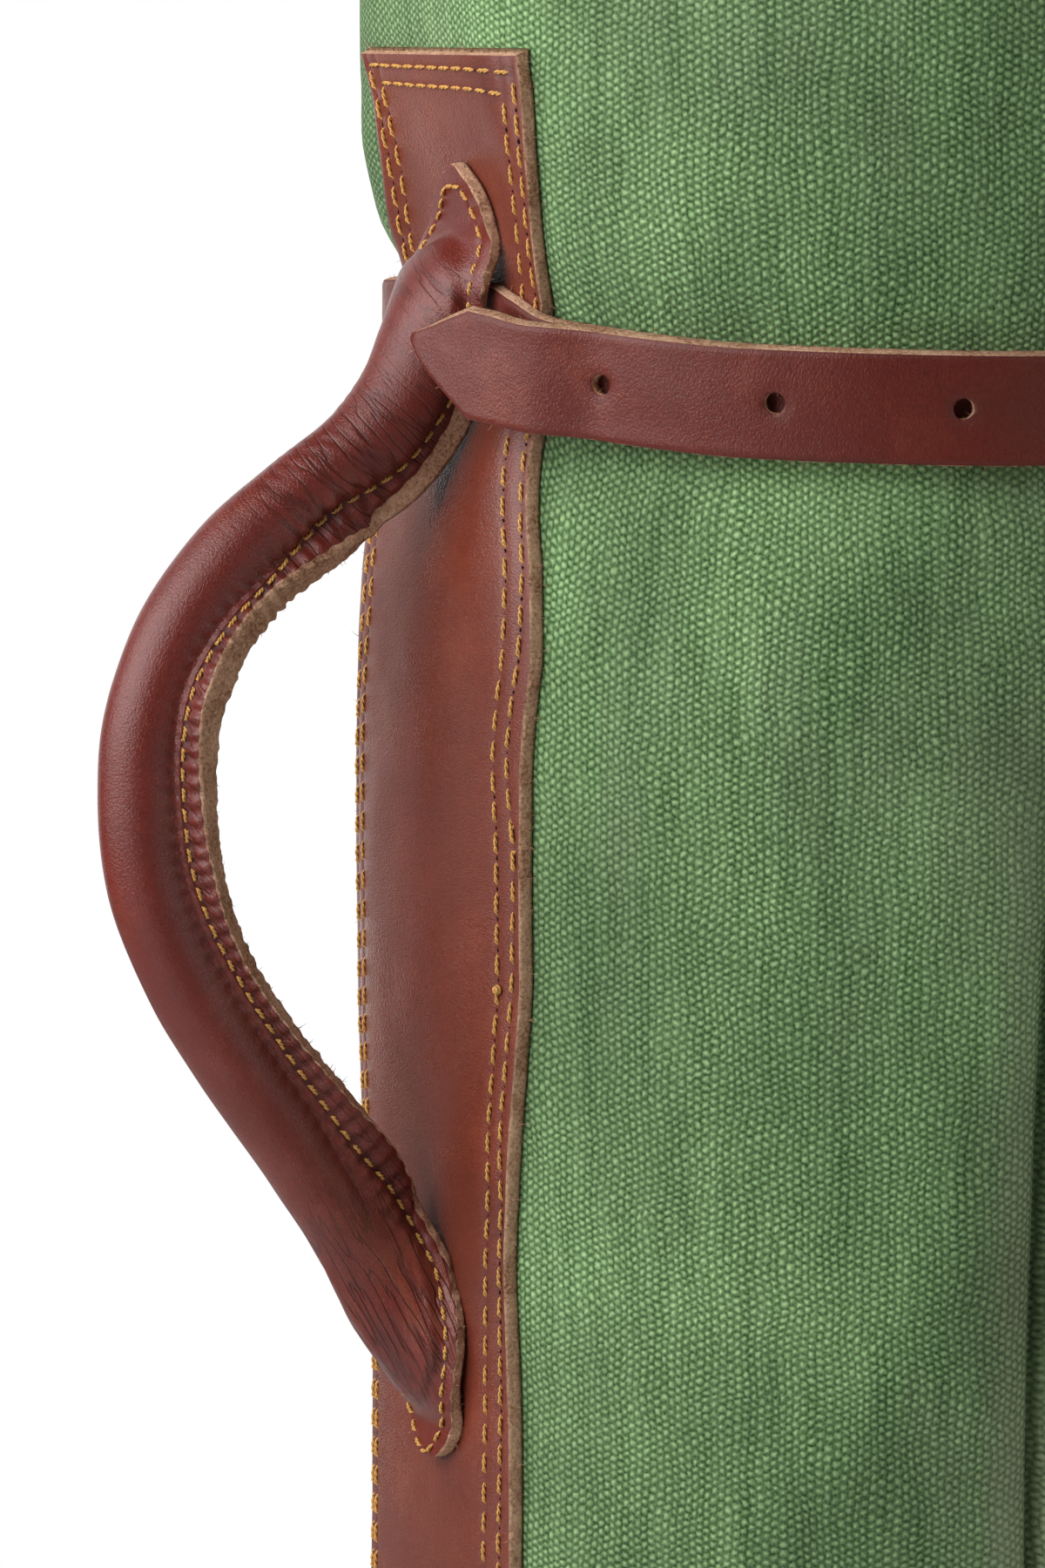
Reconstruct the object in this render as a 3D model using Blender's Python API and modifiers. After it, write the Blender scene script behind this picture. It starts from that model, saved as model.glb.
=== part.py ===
"""Canvas golf bag: an upright canvas tube drawn in by a buckled leather strap, with a
leather side strip and a rolled leather carry handle. Metres, +Z up.

The origin is the middle of the base's underside, on the bag's axis. An azimuth is measured
round that axis in degrees, 0 towards -Y and 90 towards +X. The side strip and the handle
are at azimuth -90, towards -X. A level is a height before the strap's slant is added: the
strap climbs towards the handle, and the drawn-in waist of the canvas climbs with it.
"""

import bisect
import math

import bmesh
import bpy
from mathutils import Matrix, Vector

MM = 0.001


def table(columns, *rows):
    """Rows of numbers as dictionaries with named columns."""
    return [dict(zip(columns.split(), row)) for row in rows]


# Driving sizes
BAG_HEIGHT = 860 * MM
CANVAS_THICKNESS = 2.0 * MM
LEATHER_THICKNESS = 2.8 * MM
STRAP_THICKNESS = 2.6 * MM
STRAP_WIDTH = 21 * MM
STRAP_LEVEL = 670 * MM
STRIP_WIDTH = 71 * MM
STRIP_TOP_HEIGHT = 735.2 * MM
STRIP_FOOT_LEVEL = 16 * MM
STRIP_CLEAR = 27
BASE_THICKNESS = 3.0 * MM
GAP = 0.35 * MM

HANDLE_AZIMUTH = -90
FLAT_AZIMUTH = -93.5

# The canvas tube: its radius, and how far its side is flattened under the side strip (mm)
BODY = table(
    "level radius flat",
    (3.4, 100.5, 0.0),
    (60, 101.0, 0.0),
    (200, 100.6, 0.5),
    (330, 99.8, 0.5),
    (430, 98.8, 1.0),
    (468, 98.4, 1.6),
    (500, 99.4, 2.0),
    (526, 100.8, 1.5),
    (548, 101.5, 0.5),
    (580, 102.0, 0.0),
    (612, 101.8, 0.0),
    (626, 100.7, 0.2),
    (636, 99.0, 1.0),
    (646, 96.8, 2.4),
    (652.5, 95.2, 3.6),
    (659.5, 93.6, 4.6),
    (670, 94.4, 6.0),
    (680.5, 95.3, 7.2),
    (687.5, 97.7, 8.6),
    (696, 100.2, 9.6),
    (705, 101.8, 9.3),
    (716, 102.9, 8.0),
    (730, 103.1, 5.4),
    (748, 103.0, 3.6),
    (780, 102.4, 1.0),
    (829, 101.8, 0.0),
    (860, 101.8, 0.0),
)
CORNER_SOFTNESS = 3.0 * MM

# The hem at the mouth: canvas folded over, standing a little proud
HEM_FOOT_LEVEL = 832 * MM
HEM_PROUD = 1.0 * MM

# Folds in the canvas: power 1 is a crease with rolled lips, power 2 a soft dent, and a
# negative depth a puff. Width and depth in mm, between the two levels, faded at both ends.
FOLDS = table(
    "azimuth width depth power low high fade",
    (-10.6, 5.0, 14.0, 1.0, 40, 656, 110),
    (-10.0, 12.0, 1.8, 2.0, 682, 790, 30),
    (-113, 10.0, -2.6, 2.0, 680, 722, 16),
    (-127, 6.0, 6.0, 1.2, 300, 655, 40),
    (-150, 14.0, 3.0, 2.0, 682, 800, 26),
    (172, 9.0, 4.0, 2.0, 420, 655, 40),
    (128, 6.0, 11.0, 1.0, 120, 656, 40),
    (118, 13.0, 3.4, 2.0, 682, 800, 26),
    (76, 15.0, 2.2, 2.0, 684, 780, 24),
    (62, 8.0, 4.0, 2.0, 480, 655, 36),
    (36, 13.0, 2.6, 2.0, 560, 655, 30),
)
CREASE_POWER = 1.3
DEEP_CREASE = 12
DEEP_OFFSETS = (-8.4, -4.9, -2.6, -1.1, 0, 1.1, 2.6, 4.9, 8.4)
CREASE_OFFSETS = (-6.0, -2.2, 0, 2.2, 6.0)
COLUMN_STEP = 7.5

# How far the strap climbs, by azimuth (mm): the belt itself, and its free end on top
RISE = table(
    "azimuth belt",
    (-180, 2.6),
    (-150, 5.5),
    (-122, 8.6),
    (-97, 10.4),
    (-80, 10.4),
    (-74, 8.4),
    (-68, 5.0),
    (-61, 3.1),
    (-53, 1.8),
    (-45, 0.8),
    (-30, 0.0),
    (-14, -0.6),
    (20, -1.0),
    (90, -0.8),
    (140, 0.6),
    (180, 2.6),
)
RISE_REACH = 70 * MM

# The free end hangs lower than the belt under it, and lies over the handle's neck (mm)
FREE_END = table(
    "azimuth drop lift",
    (-86, 1.4, 14.6),
    (-82.5, 2.2, 11.7),
    (-78.0, 2.8, 7.0),
    (-74.0, 2.3, 3.0),
    (-71.0, 1.4, 1.2),
    (-68.0, 0.3, 0.2),
    (-64.0, 0.0, 0.0),
)
TIP_AZIMUTH = -83.2
TIP_TAPER = 12 * MM

# The strip's middle line wanders sideways (mm, towards the camera side of the bag)
STRIP_LINE = table(
    "level shift",
    (16, -2.0),
    (400, -4.2),
    (450, -4.7),
    (498, -5.2),
    (519, -2.9),
    (533, -0.9),
    (546, 0.9),
    (560, 2.2),
    (597, 2.4),
    (609, 3.4),
    (617, 4.4),
    (627, 3.2),
    (634, 1.6),
    (641, -1.0),
    (649, -3.2),
    (656, -4.2),
    (668, -2.6),
    (681, -0.8),
    (695, 1.8),
    (706, 3.6),
    (716, 4.2),
    (724, 3.9),
    (730, 2.9),
)
STRIP_COLUMNS = 7
STRIP_COVER = 2.6
STRIP_RAMP = 6.0

# The handle, from its pointed top tab to its round lower tongue. Height, and reach of its
# back from the bag's axis, 0 where it lies on the strip; how far it stands off the middle
# towards the camera side; half the width of the leather; the turn of each side about the
# grip and the twist of the seam in degrees; the straight flange at each edge; and how far
# the inside is filled by the core. Lengths in mm.
HANDLE = table(
    "height reach aside half turn twist leg fill",
    (713.4, 0, 7.4, 0.8, 0, 0, 0, 0),
    (711.4, 0, 7.0, 4.6, 0, 0, 0, 0),
    (708.0, 0, 6.2, 9.6, 0, 0, 0, 0),
    (703.0, 0, 5.4, 13.2, 2, 0, 0, 0),
    (698.0, 96.8, 5.0, 15.6, 12, 0, 0, 0),
    (693.0, 101.6, 5.0, 17.6, 34, 0, 0, 0),
    (687.5, 105.0, 5.0, 18.0, 62, 0, 1.6, 0),
    (680.5, 108.4, 5.0, 18.6, 92, 0, 4.2, 0),
    (672.5, 112.4, 5.0, 23.0, 104, 0, 9.5, 0.1),
    (664.0, 121.4, 5.0, 26.0, 120, 6, 11.2, 0.4),
    (655.6, 133.6, 5.0, 25.8, 150, 22, 8.2, 1),
    (644.9, 147.4, 5.0, 26.6, 166, 44, 6.2, 1),
    (632.2, 158.1, 5.0, 27.5, 169, 58, 7.0, 1),
    (619.3, 164.8, 5.0, 27.7, 169, 60, 8.2, 1),
    (606.3, 168.5, 5.0, 27.7, 169, 52, 8.2, 1),
    (593.1, 169.2, 5.0, 27.7, 169, 46, 8.2, 1),
    (579.8, 168.1, 5.0, 27.7, 169, 41, 8.2, 1),
    (566.3, 164.2, 5.0, 27.0, 169, 38, 7.4, 1),
    (552.5, 157.6, 5.0, 26.4, 169, 34, 6.6, 1),
    (538.5, 148.9, 5.0, 26.6, 168, 28, 7.0, 1),
    (524.0, 138.6, 5.0, 26.6, 158, 20, 8.4, 1),
    (509.3, 128.5, 5.0, 27.2, 134, 10, 11.6, 0.6),
    (495.0, 119.2, 5.0, 23.4, 104, 2, 10.2, 0.1),
    (486.5, 114.0, 5.0, 18.4, 84, 0, 6.4, 0),
    (479.0, 108.6, 5.0, 14.6, 54, 0, 2.2, 0),
    (472.6, 104.4, 5.2, 12.6, 22, 0, 0, 0),
    (468.0, 0, 5.4, 11.0, 4, 0, 0, 0),
    (464.0, 0, 5.6, 8.6, 0, 0, 0, 0),
    (461.6, 0, 5.7, 5.6, 0, 0, 0, 0),
    (460.4, 0, 5.8, 2.0, 0, 0, 0, 0),
)
HANDLE_THICKNESS = 2.5 * MM
HANDLE_ARC_POINTS = 9

# The buckle, beyond the strap's last visible hole
BUCKLE_AZIMUTH = 19.0
BAR_RADIUS = 1.5 * MM
BAR_LIFT = 4.8 * MM
FRAME_RADIUS = 1.6 * MM
FRAME_LENGTH = 20 * MM
FRAME_HALF_HEIGHT = 14.5 * MM
FRAME_LIFT = 4.95 * MM
PRONG_RADIUS = 1.15 * MM
PRONG_ROOM = 0.8 * MM

# The strap's middle layer at the buckle: distance from the bar, positive towards the
# frame, and lift from the canvas (mm). First the sewn fold round the bar, then the part
# that comes round the bag, up through the frame and over the bar.
FOLD_PATH = table(
    "arc lift",
    (-22, 4.6),
    (-14, 4.6),
    (-7, 4.65),
    (-3.2, 6.5),
    (0, 7.95),
    (2.0, 7.3),
    (3.05, 5.7),
    (3.0, 3.9),
    (1.9, 2.3),
    (-0.6, 1.7),
    (-7, 1.65),
)
OVER_PATH = table(
    "arc lift",
    (22, 1.65),
    (16, 1.7),
    (12, 2.4),
    (8.9, 4.5),
    (6.6, 7.2),
    (4.4, 9.4),
    (1.6, 10.9),
    (-1.6, 11.0),
    (-5, 10.0),
    (-9, 8.8),
    (-14, 7.9),
    (-20, 7.6),
    (-26, 6.9),
    (-31, 5.4),
    (-36, 4.6),
)

HOLE_AZIMUTHS = (-60.5, -40.5, -20.5, -0.5, 39.5)
HOLE_RADIUS = 1.95 * MM


def along(rows, key, column, at):
    """A column of a table read at a value of its key, on a cubic that doesn't overshoot."""
    keys = [row[key] for row in rows]
    values = [row[column] for row in rows]
    if at <= keys[0]:
        return values[0]
    if at >= keys[-1]:
        return values[-1]
    slopes = [
        (values[i + 1] - values[i]) / (keys[i + 1] - keys[i]) for i in range(len(keys) - 1)
    ]

    def tangent(i):
        if i == 0 or i == len(slopes):
            return slopes[min(i, len(slopes) - 1)]
        before, after = slopes[i - 1], slopes[i]
        return 0.0 if before * after <= 0 else 2 * before * after / (before + after)

    i = bisect.bisect_right(keys, at) - 1
    span = keys[i + 1] - keys[i]
    t = (at - keys[i]) / span
    return (
        (1 + 2 * t) * (1 - t) ** 2 * values[i]
        + t * (1 - t) ** 2 * span * tangent(i)
        + t * t * (3 - 2 * t) * values[i + 1]
        + t * t * (t - 1) * span * tangent(i + 1)
    )


def ramp(value):
    """0 below 0, 1 above 1, and smooth between."""
    t = min(max(value, 0.0), 1.0)
    return t * t * (3 - 2 * t)


def turned(azimuth):
    """The azimuth brought between -180 and 180."""
    return (azimuth + 180) % 360 - 180


def at_azimuth(azimuth, radius, height):
    angle = math.radians(azimuth)
    return Vector((radius * math.sin(angle), -radius * math.cos(angle), height))


def belt_rise(azimuth, level):
    """How much higher than its level a point lies, because the belt slants."""
    near_belt = math.exp(-(((level - STRAP_LEVEL) / RISE_REACH) ** 2))
    return along(RISE, "azimuth", "belt", turned(azimuth)) * MM * near_belt


def fold_depth(azimuth, level, radius):
    depth = 0.0
    for fold in FOLDS:
        arc = abs(turned(azimuth - fold["azimuth"])) * math.pi / 180 * radius / MM
        across = math.exp(-((arc / fold["width"]) ** fold["power"]))
        millimetres = level / MM
        window = ramp((millimetres - fold["low"]) / fold["fade"]) * ramp(
            (fold["high"] - millimetres) / fold["fade"]
        )
        depth += fold["depth"] * MM * across * window
    return depth


def canvas_radius(azimuth, level):
    """The radius of the canvas's outer face."""
    millimetres = level / MM
    circle = along(BODY, "level", "radius", millimetres) * MM
    flat = along(BODY, "level", "flat", millimetres) * MM
    off_flat = math.radians(turned(azimuth - FLAT_AZIMUTH))
    radius = circle
    if abs(off_flat) < math.radians(60):
        chord = (circle - flat) / math.cos(off_flat)
        closeness = max(CORNER_SOFTNESS - abs(circle - chord), 0) / CORNER_SOFTNESS
        radius = min(circle, chord) - closeness**2 * CORNER_SOFTNESS / 4
    hem = HEM_PROUD * ramp((level - HEM_FOOT_LEVEL) / (2 * MM) + 0.5)
    return radius - fold_depth(azimuth, level, circle) + hem


def canvas_point(azimuth, level, lift=0.0):
    """A point at a distance outside the canvas's outer face."""
    height = level + belt_rise(azimuth, level)
    return at_azimuth(azimuth, canvas_radius(azimuth, level) + lift, height)


def grid_object(name, points, around, collection):
    """An open surface through a grid of points, closed round the first index if around."""
    bm = bmesh.new()
    grid = [[bm.verts.new(point) for point in line] for line in points]
    lines = len(grid)
    for i in range(lines if around else lines - 1):
        first, second = grid[i], grid[(i + 1) % lines]
        for j in range(len(first) - 1):
            bm.faces.new((first[j], second[j], second[j + 1], first[j + 1]))
    mesh = bpy.data.meshes.new(name)
    bm.to_mesh(mesh)
    bm.free()
    mesh.shade_smooth()
    obj = bpy.data.objects.new(name, mesh)
    collection.objects.link(obj)
    return obj


def closed_loft(name, sections, collection):
    """A solid through closed sections of equally many points, with its two ends capped."""
    bm = bmesh.new()
    rings = [[bm.verts.new(point) for point in section] for section in sections]
    count = len(rings[0])
    for first, second in zip(rings, rings[1:]):
        for j in range(count):
            k = (j + 1) % count
            bm.faces.new((first[j], first[k], second[k], second[j]))
    bm.faces.new(list(reversed(rings[0])))
    bm.faces.new(rings[-1])
    bmesh.ops.triangulate(bm, faces=bm.faces[:])
    bmesh.ops.recalc_face_normals(bm, faces=bm.faces[:])
    mesh = bpy.data.meshes.new(name)
    bm.to_mesh(mesh)
    bm.free()
    mesh.shade_smooth()
    mesh.set_sharp_from_angle(angle=math.radians(40))
    obj = bpy.data.objects.new(name, mesh)
    collection.objects.link(obj)
    return obj


def thicken(obj, thickness, offset):
    solidify = obj.modifiers.new("Wall", "SOLIDIFY")
    solidify.thickness = thickness
    solidify.offset = offset
    solidify.use_even_offset = True
    solidify.use_quality_normals = True


def material(name, colour, roughness, metallic=0.0):
    made = bpy.data.materials.new(name)
    made.use_nodes = True
    shader = made.node_tree.nodes["Principled BSDF"]
    shader.inputs["Base Color"].default_value = (*colour, 1.0)
    shader.inputs["Roughness"].default_value = roughness
    shader.inputs["Metallic"].default_value = metallic
    return made


def canvas_columns():
    """The canvas's columns from -180 round to 180: azimuths, or places across the strip."""
    creases = []
    for fold in FOLDS:
        if fold["power"] <= CREASE_POWER:
            offsets = DEEP_OFFSETS if fold["depth"] > DEEP_CREASE else CREASE_OFFSETS
            creases += [turned(fold["azimuth"] + offset) for offset in offsets]
    steps = [-180 + COLUMN_STEP * i for i in range(round(360 / COLUMN_STEP))]
    clear = [
        step
        for step in steps
        if abs(step - HANDLE_AZIMUTH) > STRIP_CLEAR
        and all(abs(turned(step - crease)) > COLUMN_STEP / 2 for crease in creases)
    ]
    columns = [(azimuth, None) for azimuth in clear + creases]
    columns += [(HANDLE_AZIMUTH + across * 0.01, across) for across in strip_columns()]
    return sorted(columns)


def strip_columns():
    """Places of the strip's columns, in mm across from its middle line."""
    half = STRIP_WIDTH / 2 / MM
    return [-half + 2 * half * i / (STRIP_COLUMNS - 1) for i in range(STRIP_COLUMNS)]


def body_levels():
    levels = [row["level"] * MM for row in BODY]
    return sorted(levels + [HEM_FOOT_LEVEL - 1 * MM, HEM_FOOT_LEVEL + 1 * MM])


def make_canvas_body(collection):
    points = [
        [
            canvas_point(azimuth if across is None else strip_azimuth(level, across), level)
            for level in body_levels()
        ]
        for azimuth, across in canvas_columns()
    ]
    body = grid_object("canvas_body", points, True, collection)
    thicken(body, CANVAS_THICKNESS, -1)
    return body


def make_base_panel(collection):
    radius = BODY[0]["radius"] * MM
    bpy.ops.mesh.primitive_cylinder_add(
        vertices=60, radius=radius, depth=BASE_THICKNESS, location=(0, 0, BASE_THICKNESS / 2)
    )
    base = bpy.context.object
    base.name = "base_panel"
    bpy.context.collection.objects.unlink(base)
    collection.objects.link(base)
    edge = base.modifiers.new("Worn edge", "BEVEL")
    edge.width = 0.8 * MM
    edge.segments = 1
    return base


def strip_azimuth(level, across):
    """Azimuth of a point that lies so many mm across from the strip's middle."""
    shift = along(STRIP_LINE, "level", "shift", level / MM)
    radius = along(BODY, "level", "radius", level / MM)
    return HANDLE_AZIMUTH + math.degrees((shift + across) / radius)


def strip_levels():
    """Levels of the strip's rows, but for its top edge, which is level and square."""
    top = STRIP_TOP_HEIGHT - belt_rise(HANDLE_AZIMUTH, STRIP_TOP_HEIGHT) - 4 * MM
    return [STRIP_FOOT_LEVEL] + [level for level in body_levels() if STRIP_FOOT_LEVEL < level < top]


def strip_top_level(across):
    level = STRIP_TOP_HEIGHT
    for _ in range(4):
        level = STRIP_TOP_HEIGHT - belt_rise(strip_azimuth(level, across), level)
    return level


def make_side_strip(collection):
    points = [
        [
            canvas_point(strip_azimuth(level, across), level, GAP)
            for level in [*strip_levels(), strip_top_level(across)]
        ]
        for across in strip_columns()
    ]
    strip = grid_object("side_strip", points, False, collection)
    thicken(strip, LEATHER_THICKNESS, 1)
    return strip


def strip_face_reach(y, z):
    """Reach towards -X of the strip's outer face at a place across and a height."""
    radius, level = BODY[0]["radius"] * MM, z
    for _ in range(4):
        azimuth = -math.degrees(math.acos(min(max(-y / radius, -1), 1)))
        level = z - belt_rise(azimuth, level)
        radius = canvas_radius(azimuth, level) + GAP + LEATHER_THICKNESS
    return math.sqrt(max(radius**2 - y**2, 0))


def handle_section(row, back, normal):
    """One closed section of the handle: the outer face from edge to edge, then the inner."""
    turn = math.radians(max(row["turn"], 1.0))
    leg = max(row["leg"] * MM, 0.3 * MM)
    radius = (row["half"] * MM - leg) / turn
    middle = []
    for i in range(HANDLE_ARC_POINTS):
        angle = turn * (2 * i / (HANDLE_ARC_POINTS - 1) - 1)
        middle.append((radius * math.sin(angle), radius * math.cos(angle), angle))
    closing = ramp((row["turn"] - 100) / 60)
    down = min(turn, math.pi / 2 + (turn - math.pi / 2) * (1 - closing))
    for end, side in ((0, -1), (-1, 1)):
        y, depth, _ = middle[end]
        tip = (y + side * leg * math.cos(down), depth - leg * math.sin(down), side * down)
        middle.insert(0 if end == 0 else len(middle), tip)
    half = HANDLE_THICKNESS / 2
    outer = [(y + half * math.sin(a), d + half * math.cos(a)) for y, d, a in middle]
    inner = [(y - half * math.sin(a), d - half * math.cos(a)) for y, d, a in middle]
    count = len(inner)
    first, last = Vector(outer[0]), Vector(outer[-1])
    filled = [first.lerp(last, (i + 1) / (count + 1)) for i in range(count)]
    inner = [Vector(point).lerp(full, row["fill"]) for point, full in zip(inner, filled)]
    twist = math.radians(row["twist"])
    points = []
    for across, depth in outer + inner[::-1]:
        y = across * math.cos(twist) + depth * math.sin(twist)
        d = depth * math.cos(twist) - across * math.sin(twist)
        point = back + normal * (d - radius) + Vector((0, y, 0))
        if row["reach"] == 0:
            point.x += strip_face_reach(back.y, back.z) - strip_face_reach(point.y, back.z)
        points.append(point)
    return points


def handle_backs():
    backs = []
    for row in HANDLE:
        z = row["height"] * MM
        y = -row["aside"] * MM
        seat = strip_face_reach(y, z) + 1.6 * GAP + HANDLE_THICKNESS / 2
        backs.append(Vector((-(row["reach"] * MM or seat), y, z)))
    return backs


def make_handle(collection):
    backs = handle_backs()
    sections = []
    for i, (row, back) in enumerate(zip(HANDLE, backs)):
        way = backs[min(i + 1, len(backs) - 1)] - backs[max(i - 1, 0)]
        normal = Vector((way.z, 0, -way.x)).normalized()
        sections.append(handle_section(row, back, normal))
    return closed_loft("handle", sections, collection)


def arc_degree():
    """Length of one degree along the strap."""
    return along(BODY, "level", "radius", STRAP_LEVEL / MM) * MM * math.pi / 180


def strip_cover(azimuth, level):
    """Height that the side strip adds under the strap."""
    radius = along(BODY, "level", "radius", level / MM)
    shift = along(STRIP_LINE, "level", "shift", level / MM)
    across = turned(azimuth - HANDLE_AZIMUTH) * math.pi / 180 * radius - shift
    beyond = abs(across) - STRIP_WIDTH / 2 / MM
    return (1 - ramp((beyond - STRIP_COVER) / STRIP_RAMP)) * (LEATHER_THICKNESS + GAP)


def strap_stations():
    """Places along the strap's middle layer: azimuth, lift from the canvas, and drop."""
    lying = GAP + STRAP_THICKNESS / 2
    above = lying + STRAP_THICKNESS + GAP
    stations = [
        (BUCKLE_AZIMUTH + row["arc"] * MM / arc_degree(), row["lift"] * MM, 0)
        for row in FOLD_PATH
    ]
    azimuth = stations[-1][0] - 6
    last = BUCKLE_AZIMUTH - 360 + OVER_PATH[0]["arc"] * MM / arc_degree()
    while azimuth > last + 3:
        stations.append((azimuth, lying, 0))
        azimuth -= 3.5 if abs(turned(azimuth - HANDLE_AZIMUTH)) < 32 else 7
    stations += [
        (BUCKLE_AZIMUTH - 360 + row["arc"] * MM / arc_degree(), row["lift"] * MM, 0)
        for row in OVER_PATH
    ]
    azimuth = stations[-1][0] - 4
    taper = TIP_TAPER / arc_degree()
    while azimuth > TIP_AZIMUTH - 360 + taper + 2:
        stations.append(free_station(azimuth, above))
        azimuth -= 4
    for share in (1.0, 0.55, 0.22, 0.03):
        stations.append(free_station(TIP_AZIMUTH - 360 + taper * share, above))
    return stations


def free_station(azimuth, lift):
    """A station of the free end, which passes over the strip and the handle's neck."""
    place = turned(azimuth)
    lift += along(FREE_END, "azimuth", "lift", place) * MM
    return azimuth, lift, along(FREE_END, "azimuth", "drop", place) * MM


def strap_half_width(azimuth):
    """Half the width, drawn in to a blunt point over the last stretch."""
    left = (azimuth - (TIP_AZIMUTH - 360)) * arc_degree()
    return STRAP_WIDTH / 2 * min(1.0, max(left / TIP_TAPER, 0.03) ** 0.7)


def make_waist_strap(collection, cutters):
    stations = strap_stations()
    flat = [Vector((azimuth * arc_degree(), lift)) for azimuth, lift, _ in stations]
    sections = []
    for i, (azimuth, lift, drop) in enumerate(stations):
        way = flat[min(i + 1, len(flat) - 1)] - flat[max(i - 1, 0)]
        across = Vector((way.y, -way.x)).normalized() * STRAP_THICKNESS / 2
        half = strap_half_width(azimuth)
        section = []
        for side, level in ((1, -half), (1, half), (-1, half), (-1, -half)):
            place = azimuth + side * across.x / arc_degree()
            height = STRAP_LEVEL + level
            cover = strip_cover(place, height)
            point = canvas_point(place, height, cover + lift + side * across.y)
            section.append(point - Vector((0, 0, drop)))
        sections.append(section)
    strap = closed_loft("waist_strap", sections, collection)
    for i, azimuth in enumerate(HOLE_AZIMUTHS):
        lying = GAP + STRAP_THICKNESS / 2
        drop = 0
        if azimuth < BUCKLE_AZIMUTH:
            _, lying, drop = free_station(azimuth - 360, lying + STRAP_THICKNESS + GAP)
        low = canvas_point(azimuth, STRAP_LEVEL, lying - STRAP_THICKNESS / 2 - GAP / 2)
        high = canvas_point(azimuth, STRAP_LEVEL, lying + 2 * STRAP_THICKNESS)
        cut(strap, f"hole_{i + 1}", low, high, HOLE_RADIUS, drop, cutters)
    root, tip = prong_line()
    room = PRONG_RADIUS + PRONG_ROOM
    cut(strap, "prong_way", root, root.lerp(tip, 0.6), room, 0, cutters)
    return strap


def at_buckle(arc, lift, above=0.0):
    """A point so far from the bar along the strap, over the canvas, and above its middle."""
    azimuth = BUCKLE_AZIMUTH + arc / arc_degree()
    foot = canvas_point(azimuth, STRAP_LEVEL - STRAP_WIDTH / 2, lift)
    head = canvas_point(azimuth, STRAP_LEVEL + STRAP_WIDTH / 2, lift)
    return foot.lerp(head, 0.5 + above / STRAP_WIDTH)


def prong_line():
    """The prong from its root on the bar to its tip, which rests on the frame."""
    root = at_buckle(0, BAR_LIFT)
    tip = at_buckle(FRAME_LENGTH + 2.6 * MM, FRAME_LIFT + (FRAME_RADIUS + PRONG_RADIUS) * 0.95)
    return root, tip


def cut(obj, name, low, high, radius, drop, cutters):
    """Cuts a round hole, along the line between two points, through an object."""
    down = Vector((0, 0, -drop))
    cutter = bar_object(name, low + down, high + down, radius, 16, cutters)
    combine(obj, cutter, "DIFFERENCE")


def combine(obj, other, operation):
    other.hide_render = True
    other.display_type = "WIRE"
    boolean = obj.modifiers.new(other.name, "BOOLEAN")
    boolean.operation = operation
    boolean.object = other
    boolean.solver = "EXACT"


def bar_object(name, start, end, radius, sides, collection):
    """A round bar between two points."""
    way = end - start
    bm = bmesh.new()
    bmesh.ops.create_cone(
        bm, cap_ends=True, segments=sides, radius1=radius, radius2=radius, depth=way.length
    )
    turn = Vector((0, 0, 1)).rotation_difference(way).to_matrix().to_4x4()
    bmesh.ops.transform(
        bm, matrix=Matrix.Translation((start + end) / 2) @ turn, verts=bm.verts[:]
    )
    return mesh_object(name, bm, collection)


def ball_object(name, centre, radius, collection):
    bm = bmesh.new()
    bmesh.ops.create_uvsphere(bm, u_segments=10, v_segments=6, radius=radius)
    bmesh.ops.transform(bm, matrix=Matrix.Translation(centre), verts=bm.verts[:])
    return mesh_object(name, bm, collection)


def mesh_object(name, bm, collection):
    mesh = bpy.data.meshes.new(name)
    bm.to_mesh(mesh)
    bm.free()
    obj = bpy.data.objects.new(name, mesh)
    collection.objects.link(obj)
    return obj


def make_buckle(collection, cutters):
    """Frame, bar and prong as one piece, flat over the strap, bar towards the handle."""
    foot = at_buckle(0, BAR_LIFT, -FRAME_HALF_HEIGHT)
    head = at_buckle(0, BAR_LIFT, FRAME_HALF_HEIGHT)
    far_head = at_buckle(FRAME_LENGTH, FRAME_LIFT, FRAME_HALF_HEIGHT)
    far_foot = at_buckle(FRAME_LENGTH, FRAME_LIFT, -FRAME_HALF_HEIGHT)
    buckle = bar_object("buckle", foot, head, BAR_RADIUS, 10, collection)
    bars = (
        ("frame_head", head, far_head, FRAME_RADIUS),
        ("frame_side", far_head, far_foot, FRAME_RADIUS),
        ("frame_foot", far_foot, foot, FRAME_RADIUS),
        ("prong", *prong_line(), PRONG_RADIUS),
    )
    for name, start, end, radius in bars:
        combine(buckle, bar_object(name, start, end, radius, 10, cutters), "UNION")
    for i, corner in enumerate((foot, head, far_head, far_foot)):
        ball = ball_object(f"corner_{i + 1}", corner, FRAME_RADIUS * 1.03, cutters)
        combine(buckle, ball, "UNION")
    return buckle


def main():
    for obj in list(bpy.data.objects):
        bpy.data.objects.remove(obj, do_unlink=True)
    scene = bpy.context.scene.collection
    bag = bpy.data.collections.new("golf_bag")
    cutters = bpy.data.collections.new("cutters")
    scene.children.link(bag)
    scene.children.link(cutters)

    canvas = material("green canvas", (0.13, 0.23, 0.09), 0.95)
    leather = material("brown leather", (0.19, 0.055, 0.032), 0.5)
    brass = material("brass", (0.7, 0.52, 0.24), 0.35, 1.0)

    root = bpy.data.objects.new("golf_bag", None)
    bag.objects.link(root)
    made = (
        (make_canvas_body(bag), canvas),
        (make_base_panel(bag), canvas),
        (make_side_strip(bag), leather),
        (make_handle(bag), leather),
        (make_waist_strap(bag, cutters), leather),
        (make_buckle(bag, cutters), brass),
    )
    for piece, finish in made:
        piece.data.materials.append(finish)
        piece.parent = root


main()
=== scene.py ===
"""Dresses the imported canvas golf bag: woven canvas, sewn leather, thread and brass, with its stage."""

import bisect
import math
import random

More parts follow.
